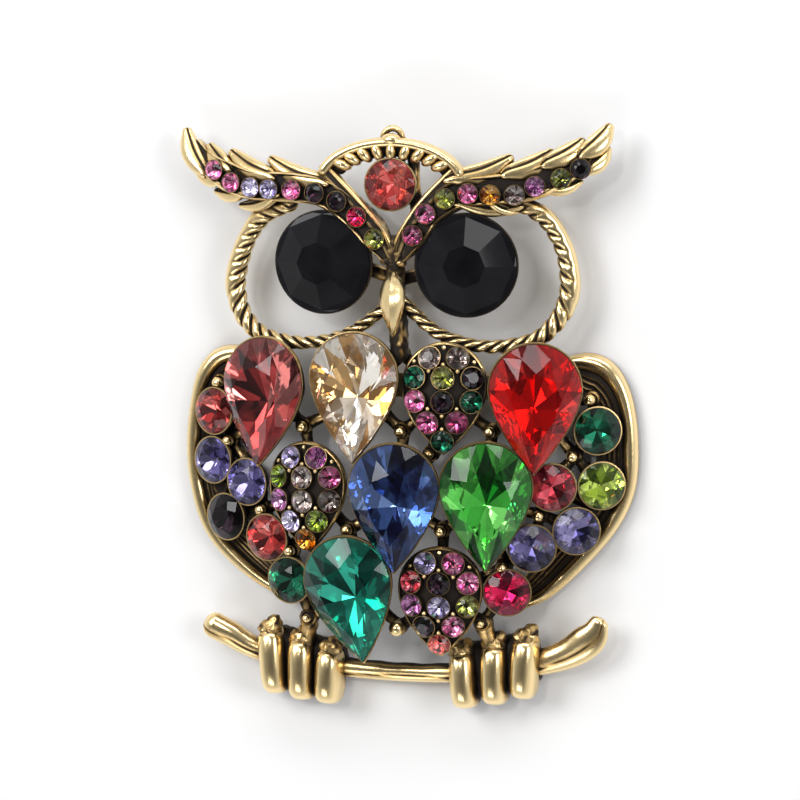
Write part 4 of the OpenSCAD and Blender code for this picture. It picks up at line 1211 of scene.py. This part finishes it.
def build_metal():
    drops = [DropSeat(*place, stones) for place, stones in zip(DROP_PLACES, DROPS)]
    # Each piece's maker, the seats that it is made for, if any, and its cast texture's depth, scale and seed
    pieces = {
        "stone_cups": (cup, PEARS + SIDES + [FOREHEAD] + EYES),
        "brow_collars": (collar, BROWS),
        "stoned_drops": (drop, drops),
        "body_webs": (webs, [drops], 0.1, 1.6, 3),
        "ball_beads": (web_beads, None),
        "eye_rims": (rims, None),
        "brow_channels": (brows, None, 0.07, 2.2, 11),
        "brow_feathers": (feathers, None),
        "brow_edges": (vee, None),
        "crest_arc": (crest, None),
        "bail_loop": (bail, None),
        "spine_and_strut": (spine, None, 0.16, 1.5, 5),
        "beak_drop": (beak, None),
        "wing_edges": (wings, None),
        "perch_toes": (toes, None),
        "toe_knuckles": (knuckles, None, 0.24, 1.9, 7),
        "perch_branch": (perch, None),
        "owl_legs": (legs, None, 0.18, 1.3, 9),
    }
    for name, (make, subjects, *texture) in pieces.items():
        metal = Metal()
        for subject in [()] if subjects is None else [(seat,) for seat in subjects]:
            make(metal, *subject)
        if texture:
            roughened(metal, *texture)
        metal.object(name, GOLD)


build_metal()
pin = frame["nodes"]["pin"]
pin.data.materials.clear()
pin.data.materials.append(PIN_GOLD)

# Camera, at the photograph's angle to the owl's face

SIDE_TURN = radians(15)
UP_TURN = radians(7)
# The width that the picture shows at the aim, the camera's distance, and its sensor
FIELD = 88.4
DISTANCE = 450
SENSOR = 36
# Where the picture's middle lies from the owl's own origin: its height, and to the right and up in the view
AIM_HEIGHT, AIM_RIGHT, AIM_UP = 1.0, -1.105, 1.88
right = Vector((cos(SIDE_TURN), 0, -sin(SIDE_TURN)))
flat = cos(UP_TURN)
away = Vector((sin(SIDE_TURN) * flat, sin(UP_TURN), cos(SIDE_TURN) * flat))
up = away.cross(right)
aim = Vector((-MID_X, -MID_Y, AIM_HEIGHT)) + right * AIM_RIGHT + up * AIM_UP
eye = (aim + away * DISTANCE) * MM
camera_data = bpy.data.cameras.new("camera")
camera_data.sensor_width = SENSOR
camera_data.lens = SENSOR * DISTANCE / FIELD
camera_data.clip_start = 0.01
camera = linked("camera", camera_data)
camera.matrix_world = Matrix([(right[i], up[i], away[i], eye[i]) for i in range(3)] + [(0, 0, 0, 1)])
bpy.context.scene.camera = camera
bpy.context.scene.view_settings.view_transform = "Standard"

# Floor, world and lights


# In metres: half the floor's side, and how far it lies below the brooch, so that the two don't flicker
FLOOR_HALF = 2.0
FLOOR_DROP = 0.00002


def floor():
    m = Nodes("pale floor")
    m.link(m.ramp(m.noise(9, 2), [(0.3, (0.88, 0.88, 0.885)), (0.7, (0.91, 0.91, 0.91))]), "Base Color")
    m.set(Roughness=0.6)
    mesh = bpy.data.meshes.new("floor")
    s = FLOOR_HALF
    mesh.from_pydata([(-s, -s, 0), (s, -s, 0), (s, s, 0), (-s, s, 0)], [], [(0, 1, 2, 3)])
    mesh.materials.append(m.owner)
    piece = linked("floor", mesh)
    piece.location.z = cad_box[0][2] - FLOOR_DROP


# The room's light from below to the zenith
SKY = [(0.0, 0.8), (0.3, 0.8), (0.6, 0.42), (0.85, 0.2), (1.0, 0.08)]
SKY_STRENGTH = 0.9


def world():
    w = Nodes("studio", "worlds", "Background")
    bpy.context.scene.world = w.owner
    place = w.add("TexCoord").outputs["Generated"]
    height = w.add("SeparateXYZ", {0: place}).outputs["Z"]
    w.link(w.ramp(height, [(at, (level, level, level * 1.01)) for at, level in SKY]), "Color")
    w.set(Strength=SKY_STRENGTH)


# Soft boxes: name, degrees from north towards east, degrees up, distance and size in metres, watts
PANELS = [
    ("key", -50, 50, 0.8, (0.42, 0.3), 3.0),
    ("fill", 75, 42, 0.8, (0.35, 0.25), 1.7),
    ("back", 8, 32, 0.8, (0.7, 0.16), 1.7),
    ("front", 195, 45, 0.8, (0.4, 0.25), 0.8),
    ("spark", -15, 72, 0.7, (0.07, 0.07), 0.5),
]


def panel(name, azimuth, elevation, distance, size, power):
    data = bpy.data.lights.new(name, "AREA")
    data.shape = "RECTANGLE"
    data.size, data.size_y = size
    data.energy = power
    lamp = linked(name, data)
    rise = radians(elevation)
    way = Vector(heading(azimuth) * cos(rise) + UP * sin(rise))
    lamp.location = way * distance
    lamp.rotation_euler = way.to_track_quat("Z", "Y").to_euler()


floor()
world()
for row in PANELS:
    panel(*row)
